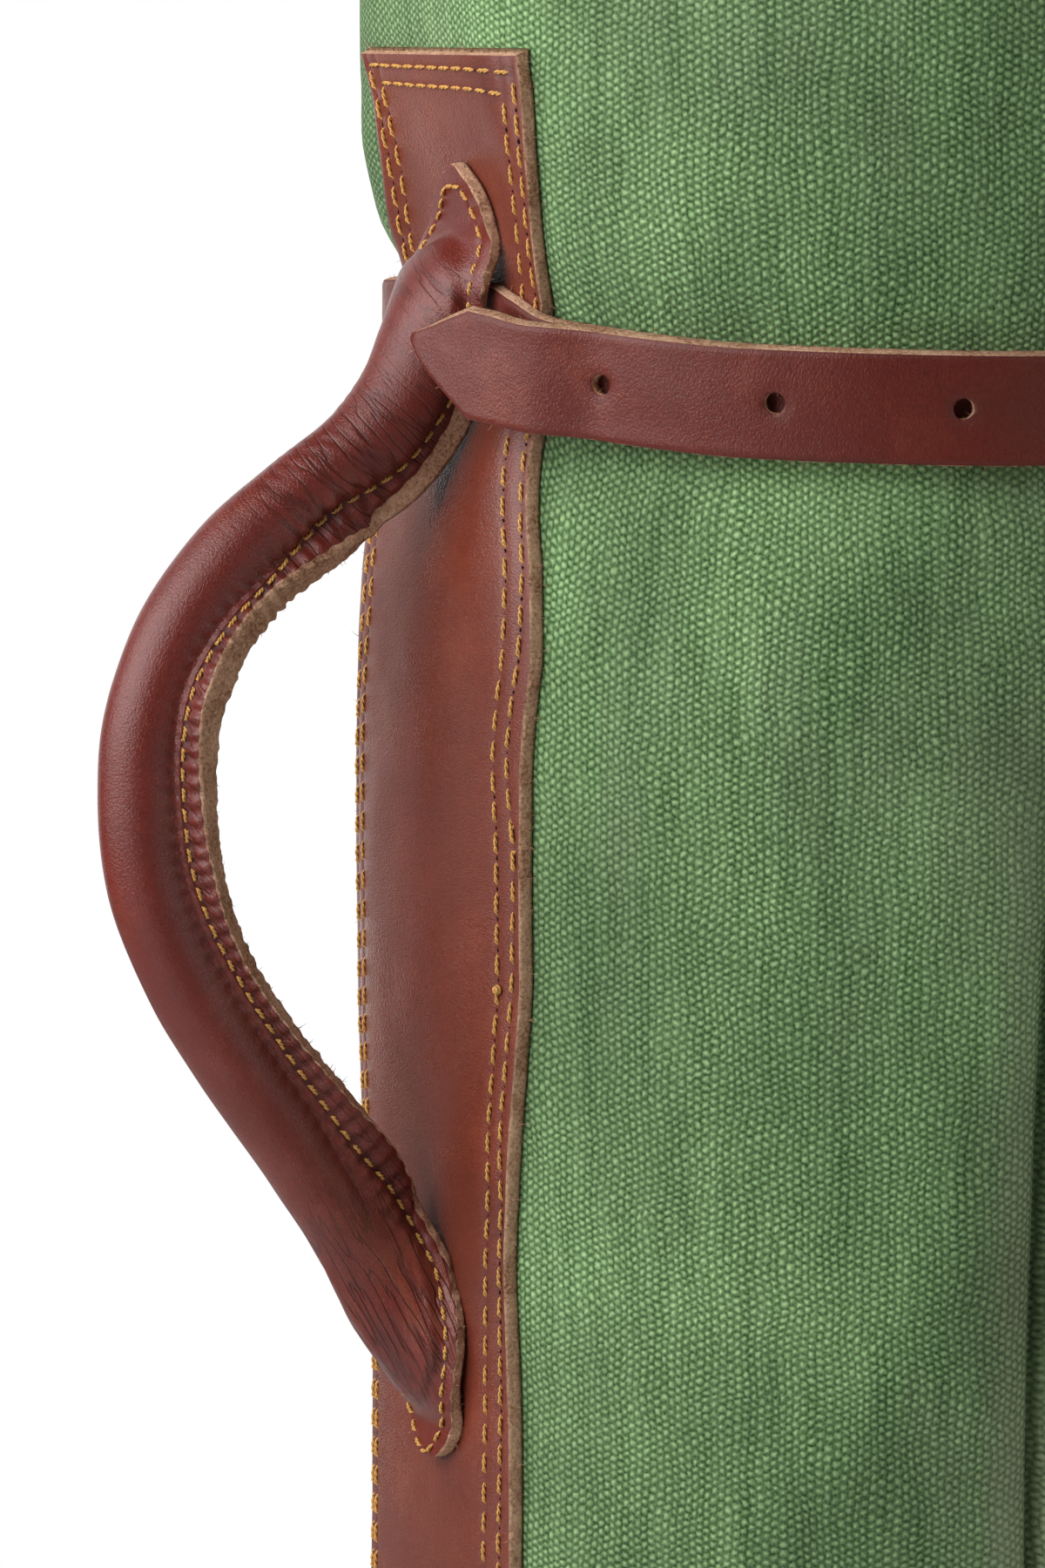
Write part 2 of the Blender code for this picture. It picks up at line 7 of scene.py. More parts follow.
import bpy
from bpy.props import FloatProperty, FloatVectorProperty, PointerProperty
from mathutils import Matrix, Vector, noise


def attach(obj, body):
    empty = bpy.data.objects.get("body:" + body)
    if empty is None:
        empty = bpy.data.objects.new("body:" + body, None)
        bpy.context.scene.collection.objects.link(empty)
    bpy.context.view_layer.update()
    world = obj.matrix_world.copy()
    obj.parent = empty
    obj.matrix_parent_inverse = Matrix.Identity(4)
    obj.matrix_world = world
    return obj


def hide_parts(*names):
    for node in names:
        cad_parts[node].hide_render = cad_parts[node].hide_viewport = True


bl_info = {
    "name": "Canvas golf bag",
    "version": (1, 0, 0),
    "blender": (4, 5, 0),
    "location": "3D View > Sidebar > Golf bag",
    "description": "Models and finishes a canvas golf bag over its packed solids",
    "category": "Object",
}

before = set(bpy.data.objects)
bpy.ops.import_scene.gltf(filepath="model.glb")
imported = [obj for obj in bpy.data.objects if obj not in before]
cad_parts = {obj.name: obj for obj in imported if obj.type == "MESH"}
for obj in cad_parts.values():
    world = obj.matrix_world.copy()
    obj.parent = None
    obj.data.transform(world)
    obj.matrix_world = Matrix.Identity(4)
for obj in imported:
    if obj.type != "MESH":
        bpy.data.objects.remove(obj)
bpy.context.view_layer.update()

MM = 0.001


def table(columns, *rows):
    """Rows of values as dictionaries with named columns."""
    return [dict(zip(columns.split(), row)) for row in rows]


def named(rows):
    """A table's rows by their name."""
    return {row["name"]: row for row in rows}


def linear(code):
    """A hex sRGB colour as linear red, green and blue."""
    parts = [int(code[i : i + 2], 16) / 255 for i in (1, 3, 5)]
    return tuple(p / 12.92 if p <= 0.04045 else ((p + 0.055) / 1.055) ** 2.4 for p in parts)


# Driving sizes, as in the part but for STRIP_RAMP, which is longer here. Azimuths are in
# degrees, where 0 faces -Y and 90 faces +X
BAG_HEIGHT = 860 * MM
CANVAS_THICKNESS = 2.0 * MM
LEATHER_THICKNESS = 2.8 * MM
STRAP_THICKNESS = 2.6 * MM
STRAP_WIDTH = 21 * MM
STRAP_LEVEL = 670 * MM
STRIP_WIDTH = 71 * MM
STRIP_TOP_HEIGHT = 735.2 * MM
STRIP_FOOT_LEVEL = 16 * MM
GAP = 0.35 * MM
HANDLE_THICKNESS = 2.5 * MM
HANDLE_AZIMUTH = -90
FLAT_AZIMUTH = -93.5
CORNER_SOFTNESS = 3.0 * MM
HEM_FOOT_LEVEL = 832 * MM
HEM_PROUD = 1.0 * MM
RISE_REACH = 70 * MM
# How far past the strip's edge the strap stays raised, then how far it takes to come down (mm)
STRIP_COVER = 2.6
STRIP_RAMP = 13.0
TIP_AZIMUTH = -83.2
TIP_TAPER = 12 * MM
TIP_RAISE = 3.2 * MM
BUCKLE_AZIMUTH = 19.0
BAR_RADIUS = 1.5 * MM
BAR_LIFT = 4.8 * MM
FRAME_RADIUS = 1.6 * MM
FRAME_LENGTH = 20 * MM
FRAME_HALF_HEIGHT = 14.5 * MM
FRAME_LIFT = 4.95 * MM
FRAME_CORNER = 3 * MM
PRONG_RADIUS = 1.15 * MM
PRONG_ROOM = 0.8 * MM
HOLE_AZIMUTHS = (-60.5, -40.5, -20.5, -0.5, 39.5)
HOLE_RADIUS = 1.95 * MM

# Skived edges, which show the cut leather from the front: the strip's top and right side,
# and the strap's upper edge. The strip's right side and its half width are in mm, as its
# columns are
STRIP_BEVEL = 1.5 * MM
STRIP_SKIVE = 0.9
STRIP_HALF = STRIP_WIDTH / 2 / MM
STRAP_BEVEL = 0.7 * MM

# The prong's parts: their share of its length, and how far each narrows to its end
PRONG_TAPER = ((0.7, 1), (0.15, 0.9), (0.1, 0.85), (0.05, 0.7))
# The knuckle that turns on the bar: its parts' lengths, and how far it starts under the prong
KNUCKLE_RADIUS = BAR_RADIUS + 0.55 * MM
KNUCKLE_PARTS = ((3.6 * MM, 1), (0.4 * MM, 0.85))
KNUCKLE_DROP = 1.9 * MM

# Columns of faces over the grip's curve, over each of its legs, over the strap, and between
# the strip's edges and its rows of stitches
HANDLE_ARC = 44
HANDLE_LEG = 9
STRAP_COLUMNS = 26
STRIP_COUNTS = (5, 6, 22, 6, 5)
# Points on the handle's back from each row of its table to the next
BACK_STEPS = 20
# Lengths of the faces along the handle and the strap, and steps of the handle's seam
HANDLE_STEP = 0.62 * MM
STRAP_STEP = 1.2 * MM
HANDLE_SEAM_STEP = 0.9 * MM

# The strip's level rows end here, and the rest turns into its slanting top in these shares
STRIP_TURN_LEVEL = 712 * MM
TOP_SHARES = (0.0, 0.14, 0.28, 0.41, 0.53, 0.62, 0.7, 0.78, 0.85, 0.91, 0.95, 0.98, 1.0)

# The canvas tube: its radius, and how far its side is flattened under the side strip (mm)
BODY = table(
    "level radius flat",
    (3.4, 100.5, 0.0),
    (60, 101.0, 0.0),
    (200, 100.6, 0.5),
    (330, 99.8, 0.5),
    (430, 98.8, 1.0),
    (468, 98.4, 1.6),
    (500, 99.4, 2.0),
    (526, 100.8, 1.5),
    (548, 101.5, 0.5),
    (580, 102.0, 0.0),
    (612, 101.8, 0.0),
    (626, 100.7, 0.2),
    (636, 99.0, 1.0),
    (646, 96.8, 2.4),
    (652.5, 95.2, 3.6),
    (659.5, 93.6, 4.6),
    (670, 94.4, 6.0),
    (680.5, 95.3, 7.2),
    (687.5, 97.7, 8.6),
    (696, 100.2, 9.6),
    (705, 101.8, 9.3),
    (716, 102.9, 8.0),
    (730, 103.1, 5.4),
    (748, 103.0, 3.6),
    (780, 102.4, 1.0),
    (829, 101.8, 0.0),
    (860, 101.8, 0.0),
)

# Folds in the canvas, creases, soft dents and a puff: where each lies, its width and depth,
# the power of its profile, the levels that it covers and the length of its faded ends (mm)
FOLDS = table(
    "azimuth width depth power low high fade",
    (-9.7, 4.2, 11.0, 1.0, 40, 650, 130),
    (-10.0, 12.0, 1.8, 2.0, 682, 790, 30),
    (-113, 10.0, -2.6, 2.0, 680, 722, 16),
    (-127, 6.0, 6.0, 1.2, 300, 655, 40),
    (-150, 14.0, 3.0, 2.0, 682, 800, 26),
    (172, 9.0, 4.0, 2.0, 420, 655, 40),
    (128, 6.0, 11.0, 1.0, 120, 656, 40),
    (118, 13.0, 3.4, 2.0, 682, 800, 26),
    (76, 15.0, 2.2, 2.0, 684, 780, 24),
    (62, 8.0, 4.0, 2.0, 480, 655, 36),
    (36, 13.0, 2.6, 2.0, 560, 655, 30),
    (-121, 20.0, 1.5, 2.0, 646, 694, 12),
)

# Folds up to this power are sharp creases, whose lips are rubbed
CREASE_POWER = 1.3

# How far the strap climbs, by azimuth (mm)
RISE = table(
    "azimuth belt",
    (-180, 2.6),
    (-150, 5.5),
    (-122, 8.6),
    (-97, 10.4),
    (-80, 10.4),
    (-74, 8.4),
    (-68, 5.0),
    (-61, 3.1),
    (-53, 1.8),
    (-45, 0.8),
    (-30, 0.0),
    (-14, -0.6),
    (20, -1.0),
    (90, -0.8),
    (140, 0.6),
    (180, 2.6),
)

# The free end hangs lower than the belt under it, and lies over the handle's neck (mm)
FREE_END = table(
    "azimuth drop lift",
    (-86, 1.4, 14.4),
    (-82.5, 2.2, 11.5),
    (-78.0, 2.8, 7.6),
    (-74.0, 2.4, 4.5),
    (-71.0, 1.7, 2.6),
    (-68.0, 0.9, 1.3),
    (-64.0, 0.2, 0.3),
    (-60.0, 0.0, 0.0),
)

# The strip's middle line wanders sideways (mm)
STRIP_LINE = table(
    "level shift",
    (16, -2.0),
    (400, -4.2),
    (450, -4.7),
    (498, -5.2),
    (519, -2.9),
    (533, -0.9),
    (546, 0.9),
    (560, 2.2),
    (597, 2.4),
    (609, 3.4),
    (617, 4.4),
    (627, 3.2),
    (634, 1.6),
    (641, -1.0),
    (649, -3.2),
    (656, -4.2),
    (668, -2.6),
    (681, -0.8),
    (695, 1.8),
    (706, 3.6),
    (716, 4.2),
    (724, 3.9),
    (730, 2.9),
)

# Margins of the strip's two rows of stitches from its left and right edges (mm)
ROWS = table(
    "level left_outer left_inner right_outer right_inner",
    (20, 3.8, 8.2, 3.4, 7.8),
    (444, 6.2, 10.6, 3.8, 8.1),
    (480, 6.0, 10.4, 2.6, 6.9),
    (512, 5.0, 9.4, 1.9, 5.6),
    (531, 4.4, 9.0, 3.1, 6.3),
    (546, 4.0, 8.8, 3.0, 6.4),
    (579, 3.5, 8.6, 2.3, 6.6),
    (601, 3.6, 8.8, 4.3, 7.9),
    (619, 5.0, 9.8, 3.6, 7.6),
    (634, 6.2, 10.8, 2.6, 7.0),
    (655, 5.4, 9.6, 2.0, 6.9),
    (689, 4.6, 8.4, 2.2, 6.8),
    (705, 3.4, 7.8, 2.2, 6.2),
    (726, 2.8, 7.2, 2.4, 5.4),
)
TOP_ROWS = table("across outer inner", (-36, 4.0, 7.8), (3, 4.4, 8.6), (25, 4.6, 8.9), (36, 5.0, 10.0))

# The handle, whose tab lies nearer to the camera's side than in the part. Its columns are the
# height of its back and its reach from the bag's middle (0 where it is laid on the strip), how
# far it lies aside, half the leather's width, how far each half is rolled and how far it leans
# (degrees), the straight flange beyond the roll, and the share to which it is filled. Lengths
# are in mm
HANDLE = table(
    "height reach aside half turn twist leg fill",
    (713.4, 0, 10.6, 0.8, 0, 0, 0, 0),
    (711.4, 0, 10.2, 4.6, 0, 0, 0, 0),
    (708.0, 0, 9.0, 9.6, 0, 0, 0, 0),
    (703.0, 0, 7.4, 13.2, 2, 0, 0, 0),
    (698.0, 96.8, 6.2, 15.6, 12, 0, 0, 0),
    (693.0, 101.6, 5.4, 17.6, 34, 0, 0, 0),
    (687.5, 105.0, 5.0, 18.0, 62, 0, 1.6, 0),
    (680.5, 108.4, 5.0, 18.6, 92, 0, 4.2, 0),
    (672.5, 112.4, 5.0, 23.0, 104, 0, 9.5, 0.1),
    (664.0, 121.4, 5.0, 26.0, 120, 6, 11.2, 0.4),
    (655.6, 133.6, 5.0, 25.8, 150, 22, 8.2, 1),
    (644.9, 147.4, 5.0, 26.6, 166, 44, 6.2, 1),
    (632.2, 158.1, 5.0, 27.5, 169, 58, 7.0, 1),
    (619.3, 164.8, 5.0, 27.7, 169, 60, 8.2, 1),
    (606.3, 168.5, 5.0, 27.7, 169, 52, 8.2, 1),
    (593.1, 169.2, 5.0, 27.7, 169, 46, 8.2, 1),
    (579.8, 168.1, 5.0, 27.7, 169, 41, 8.2, 1),
    (566.3, 164.2, 5.0, 27.0, 169, 38, 7.4, 1),
    (552.5, 157.6, 5.0, 26.4, 169, 34, 6.6, 1),
    (538.5, 148.9, 5.0, 26.6, 168, 28, 7.0, 1),
    (524.0, 138.6, 5.0, 26.6, 158, 20, 8.4, 1),
    (509.3, 128.5, 5.0, 27.2, 134, 10, 11.6, 0.6),
    (495.0, 119.2, 5.0, 23.4, 104, 2, 10.2, 0.1),
    (486.5, 114.0, 5.0, 18.4, 84, 0, 6.4, 0),
    (479.0, 108.6, 5.0, 14.6, 54, 0, 2.2, 0),
    (472.6, 104.4, 5.2, 12.6, 22, 0, 0, 0),
    (468.0, 0, 5.4, 11.0, 4, 0, 0, 0),
    (464.0, 0, 5.6, 8.6, 0, 0, 0, 0),
    (461.6, 0, 5.7, 5.6, 0, 0, 0, 0),
    (460.4, 0, 5.8, 2.0, 0, 0, 0, 0),
)

# The handle's tables that follow go by its place: 0 is the first row of HANDLE, 1 the second
HANDLE_ROWS = [dict(row, at=i) for i, row in enumerate(HANDLE)]

# Stretches of the handle: where each begins and ends, and how long it takes to do so.
# closed: the two layers of the grip lie on each other; seamed: the seam runs at the flange's
# root; sewn: the stitches draw the leather in; neck and heel: the near leg splays out; flat:
# its near side is pressed flat; pinched: the seam is drawn in under the strap
HANDLE_SPANS = named(
    table(
        "name low rise high fall",
        ("closed", 7.6, 1.6, 22.6, 1.6),
        ("seamed", 8.0, 3.0, 22.5, 3.0),
        ("sewn", 1.5, 2.0, 27.5, 2.0),
        ("neck", 7.2, 0.5, 9.7, 0.5),
        ("heel", 21.2, 1.2, 24.8, 1.4),
        ("flat", 20.8, 1.5, 25.2, 1.3),
        ("pinched", 7.2, 0.9, 11.3, 1.7),
    )
)

# Places of the handle, and how far each one's mark spreads
HANDLE_PLACES = named(
    table(
        "name place width",
        ("tab", 2.0, 2.0),
        ("shoulder", 5.6, 0.9),
        ("under_strap", 7.6, 1.2),
        ("strap_shade", 7.8, 1.2),
        ("upper_folds", 9.2, 1.2),
        ("upper_wrinkles", 9.3, 1.3),
        ("pressed", 22.6, 1.5),
        ("lower_folds", 22.9, 1.7),
        ("leaning", 23.0, 1.3),
        ("tongue", 27.0, 2.0),
    )
)

# How far the face stops short of the flesh side at the camera's side of the grip, and at
# its far side (mm)
RAW_EDGE = table(
    "place near far",
    (0, 0.3, 0.3),
    (5, 0.5, 0.3),
    (6.8, 1.2, 1.0),
    (7.8, 2.8, 1.6),
    (9, 2.8, 1.6),
    (11, 1.7, 0.8),
    (14, 1.2, 0.4),
    (17, 0.6, 0.4),
    (20, 0.4, 0.5),
    (22, 0.8, 1.2),
    (24, 0.8, 0.6),
    (29, 0.5, 0.3),
)

# Places on the strip's right rows where the thread was tacked back or knotted (mm)
TACKS = table(
    "low high row knotted",
    (556.5, 557.5, "inner", True),
    (579.0, 588.0, "outer", False),
)

# How high each row of the strip's stitches starts over its foot (mm), the step of its line,
# and the pitches of the tacked thread and of the hem's stitches
SEAM_FEET = {"outer": 4.2, "inner": 8.6}
SEAM_STEP = 1.5 * MM
TACK_PITCH = 4.6 * MM
HEM_PITCH = 4.2 * MM
HEM_SEAM_LEVEL = 836 * MM
# Half turns that the thread's two plies make in one stitch
THREAD_TURNS = 1.6

# Loose fibres of the cut edges: how many to a square millimetre, their longest (mm), the seed
# of their places, and whether the piece's back lies hidden on the bag
FIBRES = named(
    table(
        "name amount longest seed backed",
        ("strip_edge_fibres", 0.8, 1.3, 5, True),
        ("handle_edge_fibres", 0.35, 1.1, 6, False),
        ("strap_edge_fibres", 0.5, 0.9, 7, True),
    )
)
FIBRE_RADII = (0.075 * MM, 0.06 * MM, 0.02 * MM)

# The strap's middle layer at the buckle: the sewn fold round the bar, then the part that
# comes round the bag, up through the frame and over the bar (mm)
FOLD_PATH = table(
    "arc lift",
    (-22, 4.6),
    (-14, 4.6),
    (-7, 4.65),
    (-3.2, 6.5),
    (0, 7.95),
    (2.0, 7.3),
    (3.05, 5.7),
    (3.0, 3.9),
    (1.9, 2.3),
    (-0.6, 1.7),
    (-7, 1.65),
)
OVER_PATH = table(
    "arc lift",
    (22, 1.65),
    (16, 1.7),
    (12, 2.4),
    (8.9, 4.5),
    (6.6, 7.2),
    (4.4, 9.4),
    (1.6, 10.9),
    (-1.6, 11.0),
    (-5, 10.0),
    (-9, 8.8),
    (-14, 7.9),
    (-20, 7.6),
    (-26, 6.9),
    (-31, 5.4),
    (-36, 4.6),
)

# The canvas's patterns, in columns and rows of its weave: threads that wander, crowns of uneven
# outline, fibres on them, streaks along the threads, patches of dye and pale places
CLOTH_NOISES = table(
    "name scale detail stretch",
    ("wander", 0.11, 1.0, (1, 1, 1)),
    ("outline", 0.8, 1.0, (1, 1, 1)),
    ("fibres", 2.6, 3.0, (1, 1, 1)),
    ("streaks", 0.5, 2.0, (1, 0.1, 1)),
    ("patches", 0.045, 5.0, (1, 0.7, 1)),
    ("pale", 0.02, 4.0, (1.6, 0.6, 1)),
)
CLOTH_RADIUS = 102 * MM
CROWN_HEIGHT = 0.42 * MM
BASE_CROWN_HEIGHT = 0.4 * MM

# The leathers: the strip's grain is drawn out sideways, the strap's up and down, and the
# softer one of the grip is even. The strap's shines a little less than the others
LEATHERS = named(
    table(
        "name colour stretch specular",
        ("waxed bridle leather", "leather", (0.62, 0.62, 1.25), 0.5),
        ("waxed strap leather", "strap", (1.1, 1.1, 0.75), 0.34),
        ("supple grip leather", "grip", (0.95, 0.95, 0.95), 0.5),
    )
)

# Sizes of the patterns: the grain's pebbles and pores, the cut edge's tufts and the thread's
# strands. Tufts and strands are drawn coarser than real fibres, so that a frame shows them
PEBBLE_SIZE = 0.66 * MM
PORE_SIZE = 0.75 * MM
GRAIN_DEPTH = 0.075 * MM
TUFT_SIZE = 0.7 * MM
TUFT_DEPTH = 0.4 * MM
STRAND_SIZE = 0.5 * MM
STRAND_DEPTH = 0.08 * MM

# Painted shade for the thread where its strands lie low
THREAD_HOLLOW_SHADE = linear("#613F27")
BRASS_TARNISH = linear("#7C5930")
HOLE_SHADE = (*linear("#29140D"), 1)

# The grip's finest wrinkles: directions over and along them, and their pitch, length and depth.
# Pitch and length are in mm, and a depth of 1 is the depth of the grain
WRINKLES = table(
    "marked over run pitch length depth",
    ("wrinkled_across", (0.6, -0.35, 0.75), (0.87, -0.1, -0.75), 1.1, 8, 2.4),
    ("wrinkled_along", (0.78, -0.45, 0.45), (0.5, 0.0, -0.87), 1.0, 9, 3.0),
)

# The photograph's camera: angles in degrees, lengths in metres, and its lens and frame in mm
CAMERA_AZIMUTH = -30.0
CAMERA_DISTANCE = 1.15
CAMERA_HEIGHT = 0.74
CAMERA_PITCH = 7.6
CAMERA_YAW = 3.523
CAMERA_LENS = 131.1
CAMERA_SENSOR = 36

# The floor ends before the background that the camera looks at
FLOOR_RADIUS = 1.45

# Softboxes aimed at the grip's height: a wide one at the left, a white panel behind, weak
# fills in front, low and high, and two at the right
LIGHTS = table(
    "azimuth height distance width tall power",
    (-89, 0.97, 0.82, 1.1, 0.95, 14.0),
    (-199, 0.85, 1.7, 2.2, 1.5, 12),
    (-62, 0.12, 0.75, 0.6, 0.4, 0.6),
    (-50, 2.2, 1.6, 1.2, 1.2, 5),
    (42, 0.9, 1.7, 1.4, 1.4, 9),
    (110, 1.0, 1.7, 1.6, 1.6, 19),
)

LIGHTS_AIM = 0.66
# How strongly the white surround lights the bag
SURROUND = 0.04


# Measures and curves


def along(rows, key, column, at):
    """A column of a table read at a value of its key, on a cubic that doesn't overshoot."""
    keys = [row[key] for row in rows]
    values = [row[column] for row in rows]
    if at <= keys[0]:
        return values[0]
    if at >= keys[-1]:
        return values[-1]
    i = bisect.bisect_right(keys, at) - 1

    def slope(k):
        return (values[k + 1] - values[k]) / (keys[k + 1] - keys[k])

    def tangent(k):
        if k == 0 or k == len(keys) - 1:
            return slope(min(k, len(keys) - 2))
        before, after = slope(k - 1), slope(k)
        return 0.0 if before * after <= 0 else 2 * before * after / (before + after)

    span = keys[i + 1] - keys[i]
    t = (at - keys[i]) / span
    return (
        (1 + 2 * t) * (1 - t) ** 2 * values[i]
        + t * (1 - t) ** 2 * span * tangent(i)
        + t * t * (3 - 2 * t) * values[i + 1]
        + t * t * (t - 1) * span * tangent(i + 1)
    )


def ramp(value):
    """0 below 0, 1 above 1, and smooth between."""
    t = min(max(value, 0.0), 1.0)
    return t * t * (3 - 2 * t)


def bell(distance, width):
    """1 at no distance, and less further off, down to about a third at the width."""
    return math.exp(-((distance / width) ** 2))


def rough(point, size, seed=0.0):
    """Smooth noise between about -1 and 1, with features of a size in metres."""
    return noise.noise(point / size + Vector((seed, seed * 1.7, seed * 0.3)))


def turned(azimuth):
    """The azimuth brought between -180 and 180."""
    return (azimuth + 180) % 360 - 180


def at_azimuth(azimuth, radius, height):
    """A point by its azimuth in degrees, where 0 faces -Y and 90 faces +X."""
    angle = math.radians(azimuth)
    return Vector((radius * math.sin(angle), -radius * math.cos(angle), height))


def curve_through(points, steps):
    """A smooth curve through the points, in so many steps from each to the next."""
    fine = []
    for i in range(len(points) - 1):
        a, b = points[max(i - 1, 0)], points[i]
        c, d = points[i + 1], points[min(i + 2, len(points) - 1)]
        for k in range(steps):
            t = k / steps
            squared = (2 * a - 5 * b + 4 * c - d) * t * t
            fine.append(0.5 * (2 * b + (c - a) * t + squared + (3 * b - a - 3 * c + d) * t**3))
    return fine + [points[-1].copy()]


def measured(points):
    """Distances along a line of points, from its first."""
    lengths = [0.0]
    for before, after in zip(points, points[1:]):
        lengths.append(lengths[-1] + (after - before).length)
    return lengths


def place_along(lengths, distance):
    """The last point before a distance along a line, and the share of the way to the next."""
    i = min(max(bisect.bisect_right(lengths, distance) - 1, 0), len(lengths) - 2)
    return i, (distance - lengths[i]) / max(lengths[i + 1] - lengths[i], 1e-9)


def smooth_path(points, step):
    """Points a step apart on a smooth curve through the given points."""
    fine = curve_through(points, 24)
    lengths = measured(fine)
    count = max(round(lengths[-1] / step), 1)
    made = []
    for k in range(count + 1):
        i, share = place_along(lengths, lengths[-1] * k / count)
        made.append(fine[i].lerp(fine[i + 1], share))
    return made


# The bag's shape


def belt_rise(azimuth, level):
    """How much higher than its level a point lies, because the belt slants."""
    near_belt = math.exp(-(((level - STRAP_LEVEL) / RISE_REACH) ** 2))
    return along(RISE, "azimuth", "belt", turned(azimuth)) * MM * near_belt


def fold_window(fold, level):
    """1 over the levels that a fold covers, and 0 beyond its faded ends."""
    risen = ramp((level / MM - fold["low"]) / fold["fade"])
    return risen * ramp((fold["high"] - level / MM) / fold["fade"])


def fold_depth(azimuth, level, radius):
    """How deep the folds draw the canvas in at a place."""
    depth = 0.0
    for fold in FOLDS:
        arc = abs(turned(azimuth - fold["azimuth"])) * math.pi / 180 * radius / MM
        if arc > 8 * fold["width"]:
            continue
        across = math.exp(-((arc / fold["width"]) ** fold["power"]))
        depth += fold["depth"] * MM * across * fold_window(fold, level)
    return depth


def canvas_radius(azimuth, level):
    """The radius of the canvas's outer face."""
    circle = along(BODY, "level", "radius", level / MM) * MM
    flat = along(BODY, "level", "flat", level / MM) * MM
    off_flat = math.radians(turned(azimuth - FLAT_AZIMUTH))
    radius = circle
    if abs(off_flat) < math.radians(60):
        chord = (circle - flat) / math.cos(off_flat)
        closeness = max(CORNER_SOFTNESS - abs(circle - chord), 0) / CORNER_SOFTNESS
        radius = min(circle, chord) - closeness**2 * CORNER_SOFTNESS / 4
    hem = HEM_PROUD * ramp((level - HEM_FOOT_LEVEL) / (2 * MM) + 0.5)
    return radius - fold_depth(azimuth, level, circle) + hem


def canvas_point(azimuth, level, lift=0.0):
    """A point at a distance outside the canvas's outer face."""
    height = level + belt_rise(azimuth, level)
    return at_azimuth(azimuth, canvas_radius(azimuth, level) + lift, height)


def strip_azimuth(level, across):
    """Azimuth of a point that lies so many mm across from the strip's middle."""
    shift = along(STRIP_LINE, "level", "shift", level / MM)
    radius = along(BODY, "level", "radius", level / MM)
    return HANDLE_AZIMUTH + math.degrees((shift + across) / radius)


def strip_top_level(across):
    """The canvas level that the strip's straight top has at a place across."""
    level = STRIP_TOP_HEIGHT
    for _ in range(4):
        level = STRIP_TOP_HEIGHT - belt_rise(strip_azimuth(level, across), level)
    return level


def strip_face_reach(y, z):
    """Reach towards -X of the strip's outer face at a place across and a height."""
    radius, level = BODY[0]["radius"] * MM, z
    for _ in range(4):
        azimuth = -math.degrees(math.acos(min(max(-y / radius, -1), 1)))
        level = z - belt_rise(azimuth, level)
        radius = canvas_radius(azimuth, level) + GAP + LEATHER_THICKNESS
    return math.sqrt(max(radius**2 - y**2, 0))


def arc_degree():
    """Length of one degree along the strap."""
    return along(BODY, "level", "radius", STRAP_LEVEL / MM) * MM * math.pi / 180


# Colours and sizes of the panel


def colour_property(name, description, code):
    """A colour of the panel, by its hex code."""
    return FloatVectorProperty(
        name=name, description=description, subtype="COLOR", size=3, min=0, max=1, default=linear(code)
    )


def length_property(name, description, metres):
    """A length of the panel."""
    return FloatProperty(
        name=name, description=description, subtype="DISTANCE", unit="LENGTH", min=0, default=metres
    )


class GolfBagFinishes(bpy.types.PropertyGroup):
    """Colours of the bag's materials and of its stage."""

    canvas_thread: colour_property("Canvas thread", "Crown of each dyed cotton thread", "#93B47E")
    # The colour of the weave's gaps: the dye darkened by painted shade
    canvas_gap_shade: colour_property("Canvas gaps", "Dye in the gaps of the weave", "#27481D")
    canvas_worn: colour_property("Worn canvas", "Cotton where a fold has rubbed the dye off", "#A3A68C")
    leather: colour_property("Strip leather", "Waxed bridle leather of the side strip", "#703325")
    strap: colour_property("Strap leather", "Waxed strap leather, a darker red", "#612319")
    grip: colour_property("Grip leather", "Supple leather of the rolled handle", "#6A241B")
    # Paler leather: wax rubbed off, and painted sheen where the grip is marked rubbed
    leather_rubbed_and_sheen: colour_property("Rubbed leather", "Leather where the wax is rubbed off", "#8A4632")
    # Painted shade: the leather's colour in its creases and in the strap's shadow
    painted_leather_shade: colour_property("Dark leather", "Leather in creases and under the strap", "#330C07")
    raw_edge: colour_property("Raw edge", "Cut edge and flesh side of the leather", "#D9B092")
    raw_edge_dark: colour_property("Raw edge, dark fibres", "Dirt and shade in the cut edge", "#93654A")
    thread: colour_property("Thread", "Waxed linen sewing thread", "#D7A155")
    brass: colour_property("Brass", "Solid cast brass of the buckle", "#C9A25E")
    floor: colour_property("Floor", "Pale studio floor", "#D2D2D0")


class GolfBagSizes(bpy.types.PropertyGroup):
    """Sizes of the sewing and of the weave."""

    stitch_pitch: length_property("Stitch pitch", "Length of one stitch on the side strip", 5.9 * MM)
    grip_pitch: length_property("Grip stitch pitch", "Length of one stitch on the handle", 3.9 * MM)
    thread_size: length_property("Thread size", "Diameter of the twisted sewing thread", 0.86 * MM)
    weave_pitch: length_property("Weave pitch", "Width of one column of the canvas weave", 1.5 * MM)
    row_pitch: length_property("Weave row pitch", "Height of one bump of the canvas weave", 1.68 * MM)
    needle_hole: length_property("Needle hole", "Width of the hole at each end of a stitch", 0.85 * MM)


def tint(name):
    """One of the chosen colours, as linear red, green and blue."""
    return tuple(getattr(bpy.context.scene.golf_bag_finishes, name))


def sizes():
    """The sizes of the panel."""
    return bpy.context.scene.golf_bag_sizes


# Meshes


def made_object(name, points, faces, materials):
    """An object with a mesh of these points and faces."""
    mesh = bpy.data.meshes.new(name)
    mesh.from_pydata([tuple(point) for point in points], [], faces)
    for one in materials:
        mesh.materials.append(one)
    obj = bpy.data.objects.new(name, mesh)
    bpy.context.scene.collection.objects.link(obj)
    return obj


def outward(obj):
    """Turns all faces outwards and shades the mesh smooth."""
    alone(obj)
    bpy.ops.object.mode_set(mode="EDIT")
    bpy.ops.mesh.select_all(action="SELECT")
    bpy.ops.mesh.normals_make_consistent(inside=False)
    bpy.ops.object.mode_set(mode="OBJECT")
    bpy.ops.object.shade_smooth()
    obj.select_set(False)


